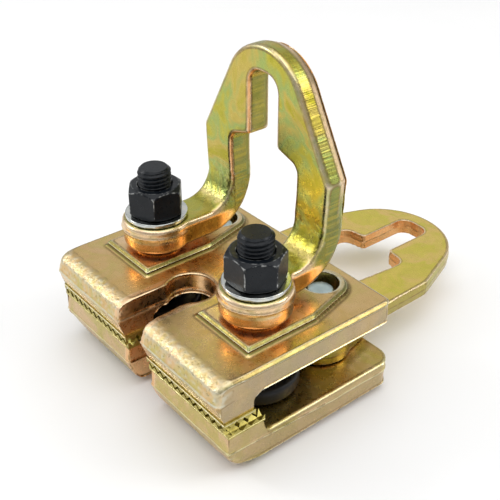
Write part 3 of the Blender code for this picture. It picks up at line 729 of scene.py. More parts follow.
def bend_profile():
    """Side view of one leg's bend and the strap that runs forward from it to the foot."""
    centre_y = RING_FRONT_Y - BEND_RADIUS
    centre_z = FOOT_TOP + BEND_RADIUS
    rise = 4 * MM
    strap_front = BOLT_Y + 4 * MM
    outer_radius = BEND_RADIUS + RING_THICKNESS
    return (
        [(strap_front, FOOT_TOP)]
        + arc(centre_y, centre_z, BEND_RADIUS, 270, 360, 24)
        + [(RING_FRONT_Y, centre_z + rise), (RING_FRONT_Y + RING_THICKNESS, centre_z + rise)]
        + arc(centre_y, centre_z, outer_radius, 360, 270, 28)
        + [(strap_front, FOOT_TOP - RING_THICKNESS)]
    )


def foot_profile():
    """Half section of a round foot: rounded top edge, drafted side with a ridge, ball underneath."""
    ball_low = BALL_Z - math.sqrt(BALL_RADIUS**2 - (WASHER_BORE_RADIUS + 0.6 * MM) ** 2)
    start = math.degrees(math.asin((FOOT_BOTTOM - BALL_Z) / BALL_RADIUS))
    end = math.degrees(math.asin((ball_low - BALL_Z) / BALL_RADIUS))
    return (
        [(0, FOOT_TOP)]
        + arc(FOOT_RADIUS - 3.0 * MM, FOOT_TOP - 2.4 * MM, 2.4 * MM, 90, 8, 6)
        + [(FOOT_RADIUS - 0.9 * MM, FOOT_RIDGE_Z + 0.7 * MM), (FOOT_RADIUS, FOOT_RIDGE_Z)]
        + [(FOOT_RADIUS - 1.0 * MM, FOOT_RIDGE_Z - 0.9 * MM), (FOOT_RADIUS - 1.2 * MM, 58.6 * MM)]
        + arc(FOOT_RADIUS - 3.7 * MM, FOOT_BOTTOM + 2.6 * MM, 2.6 * MM, -10, -80, 5)
        + arc(0, BALL_Z, BALL_RADIUS, start, end, 12)
        + [(0, ball_low)]
    )


def outside_ring(x, z):
    """1 at the outside of the arch, 0 inside its opening."""
    round_top = past(z, RING_ARC_Z, 0, 1) * (np.hypot(x, z - RING_ARC_Z) > 23 * MM)
    return np.maximum(round_top, ramp(np.abs(x), 25 * MM, 27 * MM)) * past(z, FOOT_TOP, 10.6, 22.6)


def slope_rear_walls(ring):
    """Leans the rear part of the arch's outer wall inwards, from a break line to the rear face."""
    points = points_of(ring)
    out, steep = outward(ring, 1)
    fall = REAR_SLOPE * np.maximum(points[:, 1] - RING_BREAK_Y, 0)
    fall *= ramp(steep, 0.3, 0.7) * outside_ring(points[:, 0], points[:, 2])
    set_points(ring, points - out * fall[:, None])


def outer_rear(middle):
    """Is an edge of the arch on its rear face, round the outside?"""
    round_top = middle.z > RING_ARC_Z and math.hypot(middle.x, middle.z - RING_ARC_Z) > 25 * MM
    return middle.y > RING_MID_Y and (round_top or abs(middle.x) > 24 * MM)


def outer_bend(middle):
    """Is an edge of a leg on the outside of its bend, away from the eye?"""
    centre_y, centre_z = RING_FRONT_Y - BEND_RADIUS, FOOT_TOP + BEND_RADIUS
    if abs(middle.x) < (LEG_INNER_X + LEG_OUTER_X) / 2:
        return False
    if middle.y < centre_y:
        return middle.z < FOOT_TOP - RING_THICKNESS / 2
    if middle.z > centre_z:
        return middle.y > RING_MID_Y
    return math.hypot(middle.y - centre_y, middle.z - centre_z) > BEND_RADIUS + RING_THICKNESS / 2


def ring_tint_reflection_shade(ring):
    """The tint attribute: feet pinkish and coppery, partly painted reflection of the jaw round them; strap
    sides darkened as painted shade; the arch's rolled rear edge and its opening's bevel.
    """
    x, y, z, wide = places(ring)
    normals = normals_of(ring)
    strap = past(y, RING_FRONT_Y, -0.6, -10.6)
    # The foot pinkish above its ridge and coppery below it: partly the plating's tint, partly painted
    # reflection of the jaw round it.
    upper_half_reflection = 0.5 * strap * ramp(normals[:, 2], 0.97, 0.75)
    lower_half_reflection = strap * past(z, FOOT_RIDGE_Z, -2, -4)
    behind = past(y, BOLT_Y, -8, 8) * past(y, RING_FRONT_Y, 4, -10)
    # The strap sides darkened towards dark brown: painted shade.
    strap_side_shade = 1.42 * behind * past(z, FOOT_TOP, -1, -3.5)
    strap_side_shade *= ramp(np.abs(normals[:, 0]), 0.35, 0.85)
    outside = outside_ring(x, z)
    rolled = 0.5 * past(y, RING_BREAK_Y, 0, 0.8) * outside
    rolled *= past(z, RING_CORNER_Z, -12, 0)
    facing = np.abs(normals[:, 1])
    inner_edge = ramp(facing, 0.15, 0.4) * ramp(facing, 0.97, 0.88) * (y < RING_MID_Y) * (1 - outside)
    inner_edge *= past(z, FOOT_TOP, 10.6, 16.6) * (wide < 26 * MM)
    return np.max((upper_half_reflection, lower_half_reflection, strap_side_shade, rolled, inner_edge), axis=0)


def build_pull_ring():
    arch_z = FOOT_TOP + BEND_RADIUS - MM
    arch_edges = [
        (RING_CHAMFER, 2, lambda middle: middle.z > arch_z and not outer_rear(middle)),
        (RING_ROLLOVER, 1, lambda middle: middle.z > arch_z and outer_rear(middle)),
    ]
    leg_edges = [(RING_CHAMFER, 2, lambda middle: not outer_bend(middle)), (RING_ROLLOVER, 1, outer_bend)]
    rear = RING_FRONT_Y + RING_THICKNESS
    ring = prism("pull_ring_forging", ring_outline(), "XZ", RING_FRONT_Y, rear, arch_edges)
    top, bottom = FOOT_TOP + OVERCUT, UPPER_TOP - OVERCUT
    limbs, bores = [], []
    for label, side in SIDES:
        x = side * BOLT_X
        low, high = sorted((side * LEG_INNER_X, side * LEG_OUTER_X))
        limbs.append(prism(f"ring_bend_{label}", bend_profile(), "YZ", low, high, leg_edges))
        limbs.append(turned(f"ring_foot_{label}", foot_profile(), x, BOLT_Y, 96))
        bores.append(plug(f"foot_bore_{label}", WASHER_BORE_RADIUS, top, bottom, x, BOLT_Y))
    combine(ring, "UNION", *limbs)
    combine(ring, "DIFFERENCE", *bores)
    forge(ring, 4)
    _, y, z, _ = places(ring)
    upright = past(z, FOOT_TOP, 10, 20)
    relax(ring, 10, past(y, BOLT_Y, 8, 13) * (1 - upright))
    slope_rear_walls(ring)
    bend = past(z, FOOT_TOP, -2, 3) * past(z, FOOT_TOP, 26, 12)
    hammer(ring, 0.04 * MM + 0.26 * MM * bend, 31, 0.05 * MM)
    mark(ring, "tint_reflection_shade", ring_tint_reflection_shade(ring))
    mark_wear_and_shading(ring, 0.0, np.maximum(bend, 0.3 * past(points_of(ring)[:, 2], FOOT_TOP, 42.6, 22.6)))
    return ring


def eye_outline():
    """Plan of the flat pull eye: two round ears on the pins, a neck, and a round-ended eye."""
    flank = math.atan2(EYE_CORNER_Y - EYE_ARC_Y, EYE_CORNER_X)
    reach = math.hypot(EYE_CORNER_X, EYE_CORNER_Y - EYE_ARC_Y)
    touch = math.degrees(math.acos(min(1.0, EYE_TIP_RADIUS / reach)) + flank)
    waist_y = PIN_Y - 5 * MM
    return mirrored(
        [(0, waist_y), (BOLT_X - EAR_RADIUS - MM, waist_y)]
        + arc(BOLT_X, PIN_Y, EAR_RADIUS, 205, 395, 40)
        + [(EYE_ROOT_X, EYE_ROOT_Y), (EYE_CORNER_X, EYE_CORNER_Y)]
        + arc(0, EYE_ARC_Y, EYE_TIP_RADIUS, touch, 90, 30)
    )


def eye_opening():
    """Plan of the opening in the flat pull eye: a chain slot over a wide eye."""
    corner = EYE_CORNER_RADIUS
    wide = EYE_WIDE_HALF_WIDTH
    return mirrored(
        [(0, EYE_OPENING_FRONT_Y), (wide - 9 * MM, EYE_OPENING_FRONT_Y)]
        + arc(wide - 9 * MM, EYE_OPENING_FRONT_Y + corner, corner, 290, 350, 8)
        + [(wide, EYE_SHOULDER_Y - 9 * MM)]
        + arc(wide - 5 * MM, EYE_SHOULDER_Y - 6.2 * MM, 5 * MM, 0, 75, 8)
        + arc(EYE_SLOT_HALF_WIDTH + 1.5 * MM, EYE_SHOULDER_Y + 1.4 * MM, 1.5 * MM, 260, 180, 4)
        + arc(EYE_SLOT_HALF_WIDTH - corner, EYE_SLOT_END_Y - corner, corner, 0, 90, 10)
    )


def build_pull_eye():
    bevels = [(EYE_CHAMFER, 3, lambda middle: True)]
    eye = prism("pull_eye_forging", eye_outline(), "XY", EYE_BOTTOM, EYE_TOP, bevels)
    low, high = EYE_BOTTOM - OVERCUT, EYE_TOP + OVERCUT
    cutters = [prism("eye_opening", eye_opening(), "XY", low, high)]
    for label, x in BOLTS:
        cutters.append(plug(f"ear_hole_{label}", PIN_RADIUS + GAP, high, low, x, PIN_Y))
    combine(eye, "DIFFERENCE", *cutters)
    forge(eye, 5)
    draft_sides(eye, (EYE_TOP + EYE_BOTTOM) / 2, height=0.2 * MM, draft=0.03)
    hammer(eye, 0.04 * MM, 41, 0.05 * MM)
    _, y, _, wide = places(eye)
    opening = (wide < EYE_WIDE_HALF_WIDTH + MM) & (y < EYE_SLOT_END_Y + 0.5 * MM)
    wall = ramp(np.abs(normals_of(eye)[:, 2]), 0.6, 0.3)
    mark(eye, "tint_reflection_shade", np.where(opening, 1.1, -0.5) * wall)
    mark_wear_and_shading(eye)
    return eye


# ---- fasteners


def tube_faces(rows, columns):
    """Faces of a tube with closed ends, whose vertices run round it row after row."""
    faces = []
    for j, i in itertools.product(range(rows), range(columns)):
        a, b, k = j * columns, (j + 1) * columns, (i + 1) % columns
        faces.append((a + i, a + k, b + k, b + i))
    return faces + [tuple(range(columns)), tuple(rows * columns + i for i in range(columns))]


def threaded_rod(name, x, low, high):
    """A rod with a helical thread and a chamfered top end."""
    columns, step = 60, THREAD_PITCH / 14
    rows = round((high - low) / step)
    z = np.linspace(low, high, rows + 1)[:, None]
    turn = 2 * math.pi * np.arange(columns)[None, :] / columns
    share = ((z - low) / THREAD_PITCH - turn / (2 * math.pi)) % 1.0
    flank = np.clip((np.abs(share - 0.5) - CREST_SHARE) / FLANK_SHARE, 0, 1)
    radius = BOLT_RADIUS - (BOLT_RADIUS - THREAD_ROOT_RADIUS) * flank
    radius = np.minimum(radius, BOLT_RADIUS - THREAD_CHAMFER + (high - z))
    points = np.stack((x + radius * np.cos(turn), BOLT_Y + radius * np.sin(turn), z + 0 * turn), axis=-1)
    return mesh_from(name, points.reshape(-1, 3), tube_faces(rows, columns))


def chamfered_hex(name, x, low, high, turn, flat_top, flat_bottom):
    """A hexagon prism with its corners cut back by a cone at each end."""
    body = prism(name, hexagon(x, HEX_ACROSS_FLATS, turn), "XY", low, high)
    corner = HEX_ACROSS_FLATS / math.sqrt(3) + 0.5 * MM
    slope = math.tan(math.radians(HEX_CHAMFER_ANGLE))
    barrel = [(0, high), (flat_top, high), (corner, high - (corner - flat_top) * slope)]
    barrel += [(corner, low + (corner - flat_bottom) * slope), (flat_bottom, low), (0, low)]
    combine(body, "INTERSECT", turned(name + "_cone", barrel, x, BOLT_Y, 96))
    return body


def build_clamp_bolt(name, x):
    head_top = HEAD_SEAT - GAP
    low = head_top - HEAD_HEIGHT
    flat = HEX_ACROSS_FLATS / 2 - 0.4 * MM
    bolt = chamfered_hex(name, x, low, head_top, 0.0, flat + 2.2 * MM, flat)
    combine(bolt, "UNION", plug(name + "_shank", BOLT_RADIUS, THREAD_BOTTOM, low + 2 * MM, x, BOLT_Y))
    merge(bolt, threaded_rod(name + "_thread", x, THREAD_BOTTOM - 0.2 * MM, BOLT_TOP))
    return bolt


def build_clamp_nut(name, x):
    low = FOOT_TOP + WASHER_THICKNESS + 2 * GAP
    high = low + NUT_HEIGHT
    flat = HEX_ACROSS_FLATS / 2 - 0.8 * MM
    turn = math.radians(NUT_TURN + math.copysign(NUT_TURN_APART, x))
    nut = chamfered_hex(name, x, low, high, turn, flat, flat + 0.7 * MM)
    rim = NUT_BORE_RADIUS + 0.3 * MM
    bore = [(0, high + MM), (rim, high + MM), (rim, high), (NUT_BORE_RADIUS, high - 0.3 * MM)]
    bore += [(NUT_BORE_RADIUS, low - MM), (0, low - MM)]
    combine(nut, "DIFFERENCE", turned(name + "_bore", bore, x, BOLT_Y, 96))
    forge(nut, 2, NUT_CELL)
    near_washer = ramp(points_of(nut)[:, 2], low + 2.6 * MM, low + 1.2 * MM)
    mark_wear_and_shading(nut, -near_washer, cell=NUT_CELL)
    return nut


def ring_section(inner, outer, low, high, radius, steps=6):
    """Closed half section of a plain ring with rounded outer corners."""
    return (
        [(inner, high)]
        + arc(outer - radius, high - radius, radius, 90, 0, steps)
        + arc(outer - radius, low + radius, radius, 0, -90, steps)
        + [(inner, low)]
    )


def build_flat_washer(name, x):
    low = FOOT_TOP + GAP
    section = ring_section(WASHER_BORE_RADIUS, WASHER_RADIUS, low, low + WASHER_THICKNESS, 0.5 * MM, 4)
    return turned(name, section, x, BOLT_Y, 120, ring=True)


def build_fulcrum_pin(name, x):
    shoulder_low = EYE_TOP + GAP
    shoulder_high = UPPER_UNDERSIDE - GAP
    profile = (
        [(0, PIN_TOP - 0.15 * MM), (2.2 * MM, PIN_TOP - 0.1 * MM), (2.6 * MM, PIN_TOP)]
        + arc(PIN_RADIUS - 0.7 * MM, PIN_TOP - 0.7 * MM, 0.7 * MM, 90, 0, 5)
        + [(PIN_RADIUS, shoulder_high)]
        + arc(SHOULDER_RADIUS - MM, shoulder_high - MM, MM, 90, 0, 5)
        + [(SHOULDER_RADIUS, shoulder_low), (PIN_RADIUS, shoulder_low)]
        + [(PIN_RADIUS, PIN_BOTTOM + 0.5 * MM), (PIN_RADIUS - 0.5 * MM, PIN_BOTTOM), (0, PIN_BOTTOM)]
    )
    return turned(name, profile, x, PIN_Y, 72)


def build_cushion(name, x):
    low = LOWER_TOP + GAP
    section = ring_section(BOLT_RADIUS + 2 * GAP, CUSHION_RADIUS, low, low + CUSHION_HEIGHT, CUSHION_EDGE)
    cushion = turned(name, section, x, BOLT_Y, 96, ring=True)
    near, far = x - 2 * CUSHION_RADIUS, x + 2 * CUSHION_RADIUS
    loop = [(near, MOUTH_Y), (far, MOUTH_Y), (far, CUSHION_FRONT_Y), (near, CUSHION_FRONT_Y)]
    combine(cushion, "DIFFERENCE", prism(name + "_lip_room", loop, "XY", low - MM, low + 20 * MM))
    forge(cushion, 5)
    hammer(cushion, 0.01 * MM, 51, 0.08 * MM)
    return cushion


def build_return_spring(name, x):
    low = LOWER_TOP + CUSHION_HEIGHT + 2 * GAP + SPRING_WIRE_RADIUS
    high = UPPER_UNDERSIDE - GAP - SPRING_WIRE_RADIUS
    per_turn, around, flat_end = 48, 14, 0.4
    count = round(SPRING_TURNS * per_turn)
    vertices = []
    for step in range(count + 1):
        angle = 2 * math.pi * step / per_turn
        share = (step - per_turn * flat_end) / (count - per_turn * 2 * flat_end)
        radial = Vector((math.cos(angle), math.sin(angle), 0))
        height = low + (high - low) * min(1.0, max(0.0, share))
        centre = Vector((x, BOLT_Y, height)) + radial * SPRING_RADIUS
        for k in range(around):
            turn = 2 * math.pi * k / around
            offset = radial * math.cos(turn) + Vector((0, 0, math.sin(turn)))
            vertices.append(centre + offset * SPRING_WIRE_RADIUS)
    return mesh_from(name, vertices, tube_faces(count, around))


# ---- materials


class Recipe:
    """A material's node tree, written one node at a time."""

    def __init__(self, name):
        self.material = bpy.data.materials.new(name)
        self.material.use_nodes = True
        self.tree = self.material.node_tree
        self.shader = self.tree.nodes["Principled BSDF"]
        self.place = self.add("ShaderNodeTexCoord").outputs["Object"]

    def add(self, kind, inputs=None, **settings):
        node = self.tree.nodes.new(kind)
        for key, value in settings.items():
            setattr(node, key, value)
        for key, value in (inputs or {}).items():
            self.put(node.inputs[key], value)
        return node

    def put(self, socket, value):
        if isinstance(value, bpy.types.NodeSocket):
            self.tree.links.new(value, socket)
        else:
            socket.default_value = value

    def finish(self, colour, gloss, **others):
        """Joins colour, gloss and any others to the shader, and returns the material."""
        others.update(Base_Color=colour, Roughness=gloss)
        for key, value in others.items():
            self.put(self.shader.inputs[key.replace("_", " ")], value)
        return self.material

    def stretched(self, x, y, z):
        """The object's own coordinates in lumps per millimetre along each axis."""
        scale = (x / MM, y / MM, z / MM)
        return self.add("ShaderNodeMapping", {"Vector": self.place, "Scale": scale}).outputs[0]

    def noise(self, size, detail=2.0, rough=0.5, twist=0.0, place=None):
        """Noise with lumps about size millimetres across, or one unit of the place given."""
        inputs = {"Detail": detail, "Roughness": rough, "Distortion": twist}
        inputs["Vector"] = self.stretched(1, 1, 1) if place is None else place
        inputs["Scale"] = 1 / size
        return self.add("ShaderNodeTexNoise", inputs).outputs["Fac"]

    def ramp(self, value, stops):
        """Colours between stops of (place, colour)."""
        node = self.add("ShaderNodeValToRGB", {"Fac": value})
        band = node.color_ramp
        while len(band.elements) < len(stops):
            band.elements.new(0.5)
        for element, (at, colour) in zip(band.elements, stops):
            element.position = at
            element.color = (*colour, 1.0)
        return node.outputs["Color"]

    def span(self, value, low, high, out_low=0.0, out_high=1.0):
        """Maps low to high smoothly onto out_low to out_high, and holds the ends."""
        inputs = {"Value": value, "From Min": low, "From Max": high, "To Min": out_low, "To Max": out_high}
        return self.add("ShaderNodeMapRange", inputs, interpolation_type="SMOOTHSTEP").outputs["Result"]

    def patchy(self, noise, low, high):
        """A value that drifts between low and high."""
        return self.span(self.noise(*noise), 0.3, 0.7, low, high)

    def maths(self, operation, a, b=0.0):
        node = self.add("ShaderNodeMath", operation=operation)
        self.put(node.inputs[0], a)
        self.put(node.inputs[1], b)
        return node.outputs[0]

    def times(self, a, b):
        return self.maths("MULTIPLY", a, b)

    def attribute(self, name):
        return self.add("ShaderNodeAttribute", attribute_name=name).outputs["Fac"]

    def tint(self, amount, tone):
        """Lays a tone over the colour so far."""
        node = self.add("ShaderNodeMix", data_type="RGBA")
        self.put(node.inputs["Factor"], amount)
        self.put(node.inputs[6], self.colour)
        self.put(node.inputs[7], (*tone, 1.0))
        self.colour = node.outputs[2]

    def bump(self, height, strength, distance, normal=None):
        inputs = {"Height": height, "Strength": strength, "Distance": distance}
        if normal is not None:
            inputs["Normal"] = normal
        return self.add("ShaderNodeBump", inputs).outputs["Normal"]

    def split(self, vector):
        return self.add("ShaderNodeSeparateXYZ", {"Vector": vector}).outputs


def forged_zinc(name, tones, top_tone, side_shade_tone, wear_and_sheen_tone, matt=0.0, streaks=None):
    """Yellow chromate over forged steel: drifting tints, sides darker as painted shade, proud edges rubbed
    bright and lightened as a painted highlight between dark lines of painted shade, painted shade in
    hollows and dents, fine grain.

    Vertex attributes: the one of wear and shading says how proud or sunk a place is, for the rubbed edges,
    their painted highlight, and the painted shade in hollows and beside edges. grain is how coarse it is,
    and so duller by matt.
    The tint attribute carries the tint together with painted reflection and painted shade: greenish at -1,
    plain at 0, pinkish at 0.5, coppery at 1, dark brown at 1.5.
    streaks is (low, high), the stretch of Y in millimetres where the walls carry shear marks along Y.
    """
    made = Recipe(name)
    times, span, noise = made.times, made.span, made.noise
    wear_and_shading, grain, tint_reflection_shade = (made.attribute(word) for word in ("wear_and_shading", "grain", "tint_reflection_shade"))
    facing = made.split(made.add("ShaderNodeTexCoord").outputs["Normal"])

    stops = [0.32 + 0.36 * k / (len(tones) - 1) for k in range(len(tones))]
    made.colour = made.ramp(noise(24, 3, 0.55, 0.8), list(zip(stops, tones)))
    patch = noise(13, 2)
    made.tint(times(span(facing["Z"], 0.55, 0.97), span(patch, 0.3, 0.7, 0.25, 0.7)), top_tone)
    # Faces that look sideways take a darker tone: painted shade.
    side_shade_mask = span(made.maths("ABSOLUTE", facing["X"]), 0.9, 0.985)
    made.tint(times(side_shade_mask, span(patch, 0.3, 0.7, 0.9, 0.6)), side_shade_tone)
    uneven = span(noise(6, 3), 0.3, 0.6, 0.65, 1.0)
    made.tint(times(span(tint_reflection_shade, 0.0, 0.5), uneven), PINKISH)
    made.tint(times(span(tint_reflection_shade, 0.5, 1.0), uneven), COPPERY)
    made.tint(span(tint_reflection_shade, 1.0, 1.5), DARK_BROWN)
    made.tint(span(tint_reflection_shade, 0.0, -1.0), GREENISH)
    made.tint(times(span(noise(4.5, 4, 0.6), 0.4, 0.7), 0.14), CLOUD)
    made.tint(times(span(noise(0.9, 2), 0.64, 0.74), 0.18), SPECK)

    # Dark lines beside proud edges, strongest on smooth faces: painted shade.
    edge_shade = times(span(wear_and_shading, 0.085, 0.125), span(wear_and_shading, 0.26, 0.17))
    edge_shade = times(edge_shade, span(noise(3, 3), 0.3, 0.55, 0.2, 0.65))
    made.tint(times(edge_shade, span(grain, 0.5, 0.1)), EDGE_SHADE)
    # Proud edges lightened: rubbed bare, and a painted highlight.
    rubbed_and_sheen = times(span(wear_and_shading, 0.08, 0.42), span(noise(2.5, 3), 0.25, 0.6, 0.5, 1.0))
    rubbed_and_sheen = times(rubbed_and_sheen, span(tint_reflection_shade, 0.0, -0.8, 0.85, 0.15))
    made.tint(times(rubbed_and_sheen, span(tint_reflection_shade, 0.55, 0.75, 1.0, 0.35)), wear_and_sheen_tone)
    # Sunk places darkened: painted shade.
    made.tint(times(span(times(wear_and_shading, -1.0), 0.05, 0.4), 0.85), HOLLOW_SHADE)

    gloss = made.maths("ADD", made.patchy((3.2, 4, 0.65), 0.23, 0.35), times(grain, matt))
    normal = made.bump(noise(0.5, 3, 0.6), 0.08, 0.05 * MM)
    normal = made.bump(noise(1.7, 2), 0.12, 0.10 * MM, normal)
    coarse = noise(1.5, 2, 0.5)
    normal = made.bump(times(coarse, grain), 1.0, 0.26 * MM, normal)
    # The low spots of the coarse grain darkened: painted shade.
    made.tint(times(times(span(coarse, 0.42, 0.3), grain), 0.5), PIT_SHADE)
    if streaks:
        low, high = streaks
        lines = noise(1, 3, 0.6, 0.0, made.stretched(0.9, 0.02, 0.9))
        fray = times(noise(1, 2, 0.5, 0.0, made.stretched(0.5, 0.05, 0.5)), 2.0)
        ragged = made.maths("ADD", made.split(made.stretched(1, 1, 1))["Y"], fray)
        band = times(span(ragged, low + 0.9, low + 1.6), span(ragged, high + 1.6, high + 1.0))
        band = times(band, span(made.maths("ABSOLUTE", facing["Y"]), 0.5, 0.2))
        normal = made.bump(times(lines, band), 1.0, 0.2 * MM, normal)
        made.tint(times(band, span(lines, 0.46, 0.62, 0.0, 0.6)), SHEAR_MARK)
    return made.finish(made.colour, gloss, Normal=normal, Metallic=1.0)


def mottled(name, tint_noise, tints, gloss_noise, gloss, grain_noise, grain, **others):
    """A plain finish: drifting tints and gloss, and a grain of (strength, depth).

    Each noise is (size, detail, roughness).
    """
    made = Recipe(name)
    colour = made.ramp(made.noise(*tint_noise), tints)
    normal = made.bump(made.noise(*grain_noise), *grain)
    return made.finish(colour, made.patchy(gloss_noise, *gloss), Normal=normal, **others)


def oxide_black(name):
    """Black oxide, rubbed bright in places along the proud edges that the vertex attribute of wear and
    shading shows.
    """
    made = Recipe(name)
    blacks = [(0.35, (0.003, 0.005, 0.008)), (0.7, (0.008, 0.011, 0.015))]
    made.colour = made.ramp(made.noise(6, 4, 0.6), blacks)
    patches = made.span(made.noise(2.2, 3), 0.45, 0.65)
    bare = made.times(made.span(made.attribute("wear_and_shading"), 0.14, 0.34), patches)
    made.tint(bare, (0.45, 0.46, 0.45))
    gloss = made.patchy((1.6, 4, 0.65), 0.26, 0.40)
    normal = made.bump(made.noise(0.7, 3), 0.10, 0.05 * MM)
    return made.finish(made.colour, gloss, Normal=normal, Metallic=bare, Specular_IOR_Level=0.26)


def bright_zinc(name, centre_x, centre_y, tones, gloss_low, gloss_high):
    """Clear zinc with faint turned rings round its own axis."""
    made = Recipe(name)
    colour = made.ramp(made.noise(4, 3), list(zip((0.3, 0.55, 0.75), tones)))
    x, y, _ = made.split(made.place)
    across = made.maths("SUBTRACT", x, centre_x)
    along = made.maths("SUBTRACT", y, centre_y)
    square = made.maths("ADD", made.times(across, across), made.times(along, along))
    radius = made.times(made.maths("SQRT", square), 3 / MM)
    rings = made.add("ShaderNodeTexNoise", {"W": radius, "Detail": 1.0}, noise_dimensions="1D")
    normal = made.bump(rings.outputs["Fac"], 0.05, 0.03 * MM)
    gloss = made.patchy((2, 3), gloss_low, gloss_high)
    return made.finish(colour, gloss, Normal=normal, Metallic=1.0)


# ---- assembly


def dress(thing, finishes, node, body=None, crease=50.0):
    """Gives a piece its finishes and puts it in the place of its node."""
    mesh = thing.data
    for finish in finishes:
        mesh.materials.append(finish)
    mesh.shade_smooth()
    mesh.set_sharp_from_angle(angle=math.radians(crease))
    keep_inside(thing, node)
    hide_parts(node)
    if body:
        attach(thing, body)


silver, blush = (0.70, 0.69, 0.55), (0.86, 0.68, 0.52)
upper_zinc = forged_zinc(
    "upper_jaw_zinc",
    [(0.68, 0.46, 0.16), (0.72, 0.50, 0.24), (0.60, 0.50, 0.17), (0.74, 0.50, 0.28)],
    top_tone=(0.68, 0.46, 0.19),
    side_shade_tone=(0.40, 0.32, 0.21),
    wear_and_sheen_tone=silver,
    matt=0.12,
)
lower_zinc = forged_zinc(
    "lower_jaw_zinc",
    [(0.68, 0.48, 0.24), (0.58, 0.48, 0.17), (0.74, 0.51, 0.31), (0.64, 0.48, 0.23)],
    top_tone=(0.44, 0.30, 0.03),
    side_shade_tone=(0.46, 0.36, 0.18),
    wear_and_sheen_tone=(0.76, 0.70, 0.40),
)
ring_zinc = forged_zinc(
    "pull_ring_zinc",
    [(0.40, 0.37, 0.03), (0.48, 0.43, 0.06), (0.34, 0.42, 0.12), (0.54, 0.42, 0.10), (0.42, 0.37, 0.03)],
    top_tone=(0.50, 0.45, 0.07),
    side_shade_tone=(0.13, 0.15, 0.05),
    wear_and_sheen_tone=blush,
    streaks=(-22.0, -14.5),
)
eye_zinc = forged_zinc(
    "pull_eye_zinc",
    [(0.78, 0.60, 0.13), (0.64, 0.58, 0.08), (0.84, 0.56, 0.22), (0.56, 0.54, 0.07)],
    top_tone=(0.75, 0.61, 0.13),
    side_shade_tone=(0.58, 0.40, 0.13),
    wear_and_sheen_tone=blush,
)
teeth_zinc = mottled(
    "teeth_zinc", (3, 3), [(0.3, (0.30, 0.24, 0.05)), (0.7, (0.62, 0.54, 0.16))],
    (1.5, 3), (0.28, 0.42), (0.6, 3, 0.6), (0.2, 0.05 * MM), Metallic=1.0,
)
black_rubber = mottled(
    "black_rubber_finish", (7, 4, 0.6), [(0.3, (0.004, 0.004, 0.005)), (0.75, (0.011, 0.011, 0.011))],
    (2.5, 4, 0.6), (0.36, 0.55), (0.8, 3, 0.6), (0.25, 0.06 * MM), Specular_IOR_Level=0.35,
)
spring_wire = mottled(
    "spring_wire_finish", (3, 4, 0.6), [(0.3, (0.12, 0.115, 0.11)), (0.7, (0.26, 0.255, 0.25))],
    (0.9, 3), (0.28, 0.42), (0.35, 2), (0.2, 0.03 * MM), Metallic=1.0,
)
black = oxide_black("black_oxide_finish")
washer_tones = [(0.46, 0.48, 0.46), (0.62, 0.64, 0.62), (0.70, 0.66, 0.54)]
pin_tones = [(0.50, 0.62, 0.62), (0.64, 0.77, 0.77), (0.76, 0.84, 0.80)]

dress(build_upper_jaw(), [upper_zinc, teeth_zinc], "upper_jaw", "top_jaw")
dress(build_lower_jaw(), [lower_zinc, teeth_zinc], "lower_jaw", "base")
dress(build_pull_ring(), [ring_zinc], "pull_ring", "ring")
dress(build_pull_eye(), [eye_zinc], "pull_eye", "base")
for label, x in BOLTS:
    washer_zinc = bright_zinc(f"washer_zinc_{label}", x, BOLT_Y, washer_tones, 0.12, 0.22)
    pin_zinc = bright_zinc(f"pin_zinc_{label}", x, PIN_Y, pin_tones, 0.34, 0.50)
    for word, build, finish, slot, body, crease in (
        ("clamp_bolt", build_clamp_bolt, black, "black_oxide", "base", 35),
        ("clamp_nut", build_clamp_nut, black, "black_oxide", f"nut_{label}", 35),
        ("flat_washer", build_flat_washer, washer_zinc, "white_zinc", "ring", 40),
        ("fulcrum_pin", build_fulcrum_pin, pin_zinc, "white_zinc", "base", 40),
        ("cushion", build_cushion, black_rubber, "black_rubber", "base", 50),
    ):
        dress(build(f"{word}_{label}_part", x), [finish], f"{word}_{label}", body, crease)
    spring = build_return_spring(f"return_spring_{label}_part", x)
    dress(spring, [spring_wire], f"return_spring_{label}")
    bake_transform(spring)


# ---- stage, light and camera


def pale_floor():
    made = Recipe("studio_floor")
    colour = made.ramp(made.noise(60, 2), [(0.3, (0.955,) * 3), (0.7, (0.965,) * 3)])
    return made.finish(colour, 0.9)


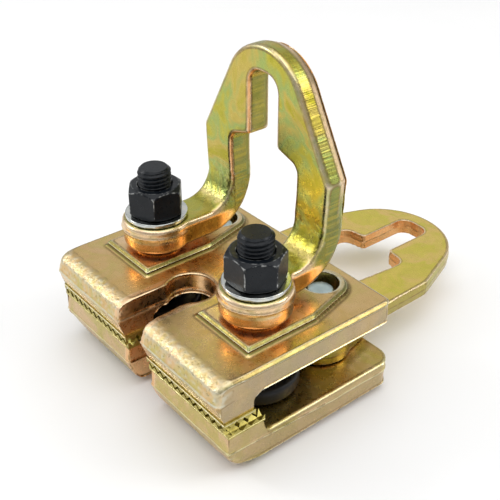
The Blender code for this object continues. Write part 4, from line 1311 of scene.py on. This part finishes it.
def soft_light(name, place, size, power):
    """A white panel turned towards the middle of the object, which the camera doesn't see."""
    panel = bpy.data.lights.new(name, "AREA")
    panel.shape = "RECTANGLE"
    panel.size, panel.size_y = size
    panel.energy = power
    made = add_object(name, panel)
    made.location = place
    made.visible_camera = False
    made.rotation_euler = (LIT_POINT - Vector(place)).to_track_quat("-Z", "Y").to_euler()


corners = ((-1, -1), (1, -1), (1, 1), (-1, 1))
floor = prism("floor", [(a * FLOOR_HALF, b * FLOOR_HALF) for a, b in corners], "XY", -20 * MM, -0.2 * MM)
floor.data.materials.append(pale_floor())

# Name, place, width and height of the panel, power in watts.
for lamp in (
    ("front_left", (-0.80, -0.64, 0.70), (1.1, 0.9), 2.6),
    ("front_spark", (-0.72, -0.70, 0.66), (0.18, 0.18), 1.3),
    ("back_right", (0.66, 0.64, 0.82), (0.5, 0.5), 3.0),
    ("back_left", (-0.80, 0.70, 0.62), (1.0, 0.8), 0.8),
    ("back_low", (0.42, 1.10, 0.12), (0.9, 0.35), 0.8),
    ("overhead", (0.15, -0.15, 1.60), (1.8, 1.8), 15.0),
):
    soft_light(*lamp)

world = bpy.data.worlds.new("studio")
bpy.context.scene.world = world
world.use_nodes = True
sky = world.node_tree.nodes["Background"]
sky.inputs["Color"].default_value = (1.0, 1.0, 1.0, 1.0)
rays = world.node_tree.nodes.new("ShaderNodeLightPath")
seen = world.node_tree.nodes.new("ShaderNodeMapRange")
seen.inputs["To Min"].default_value = SKY_LIGHT
seen.inputs["To Max"].default_value = 1.0
world.node_tree.links.new(rays.outputs["Is Camera Ray"], seen.inputs["Value"])
world.node_tree.links.new(seen.outputs["Result"], sky.inputs["Strength"])
bpy.context.scene.view_settings.view_transform = "Standard"

camera = add_object("camera", bpy.data.cameras.new("camera"))
camera.data.lens = LENS
camera.data.sensor_width = SENSOR_WIDTH
right = CAMERA_FORWARD.cross(Vector((0, 0, 1))).normalized()
upward = right.cross(CAMERA_FORWARD)
turn = Matrix((right, upward, -CAMERA_FORWARD)).transposed()
camera.matrix_world = Matrix.Translation(CAMERA_PLACE) @ turn.to_4x4()
bpy.context.scene.camera = camera
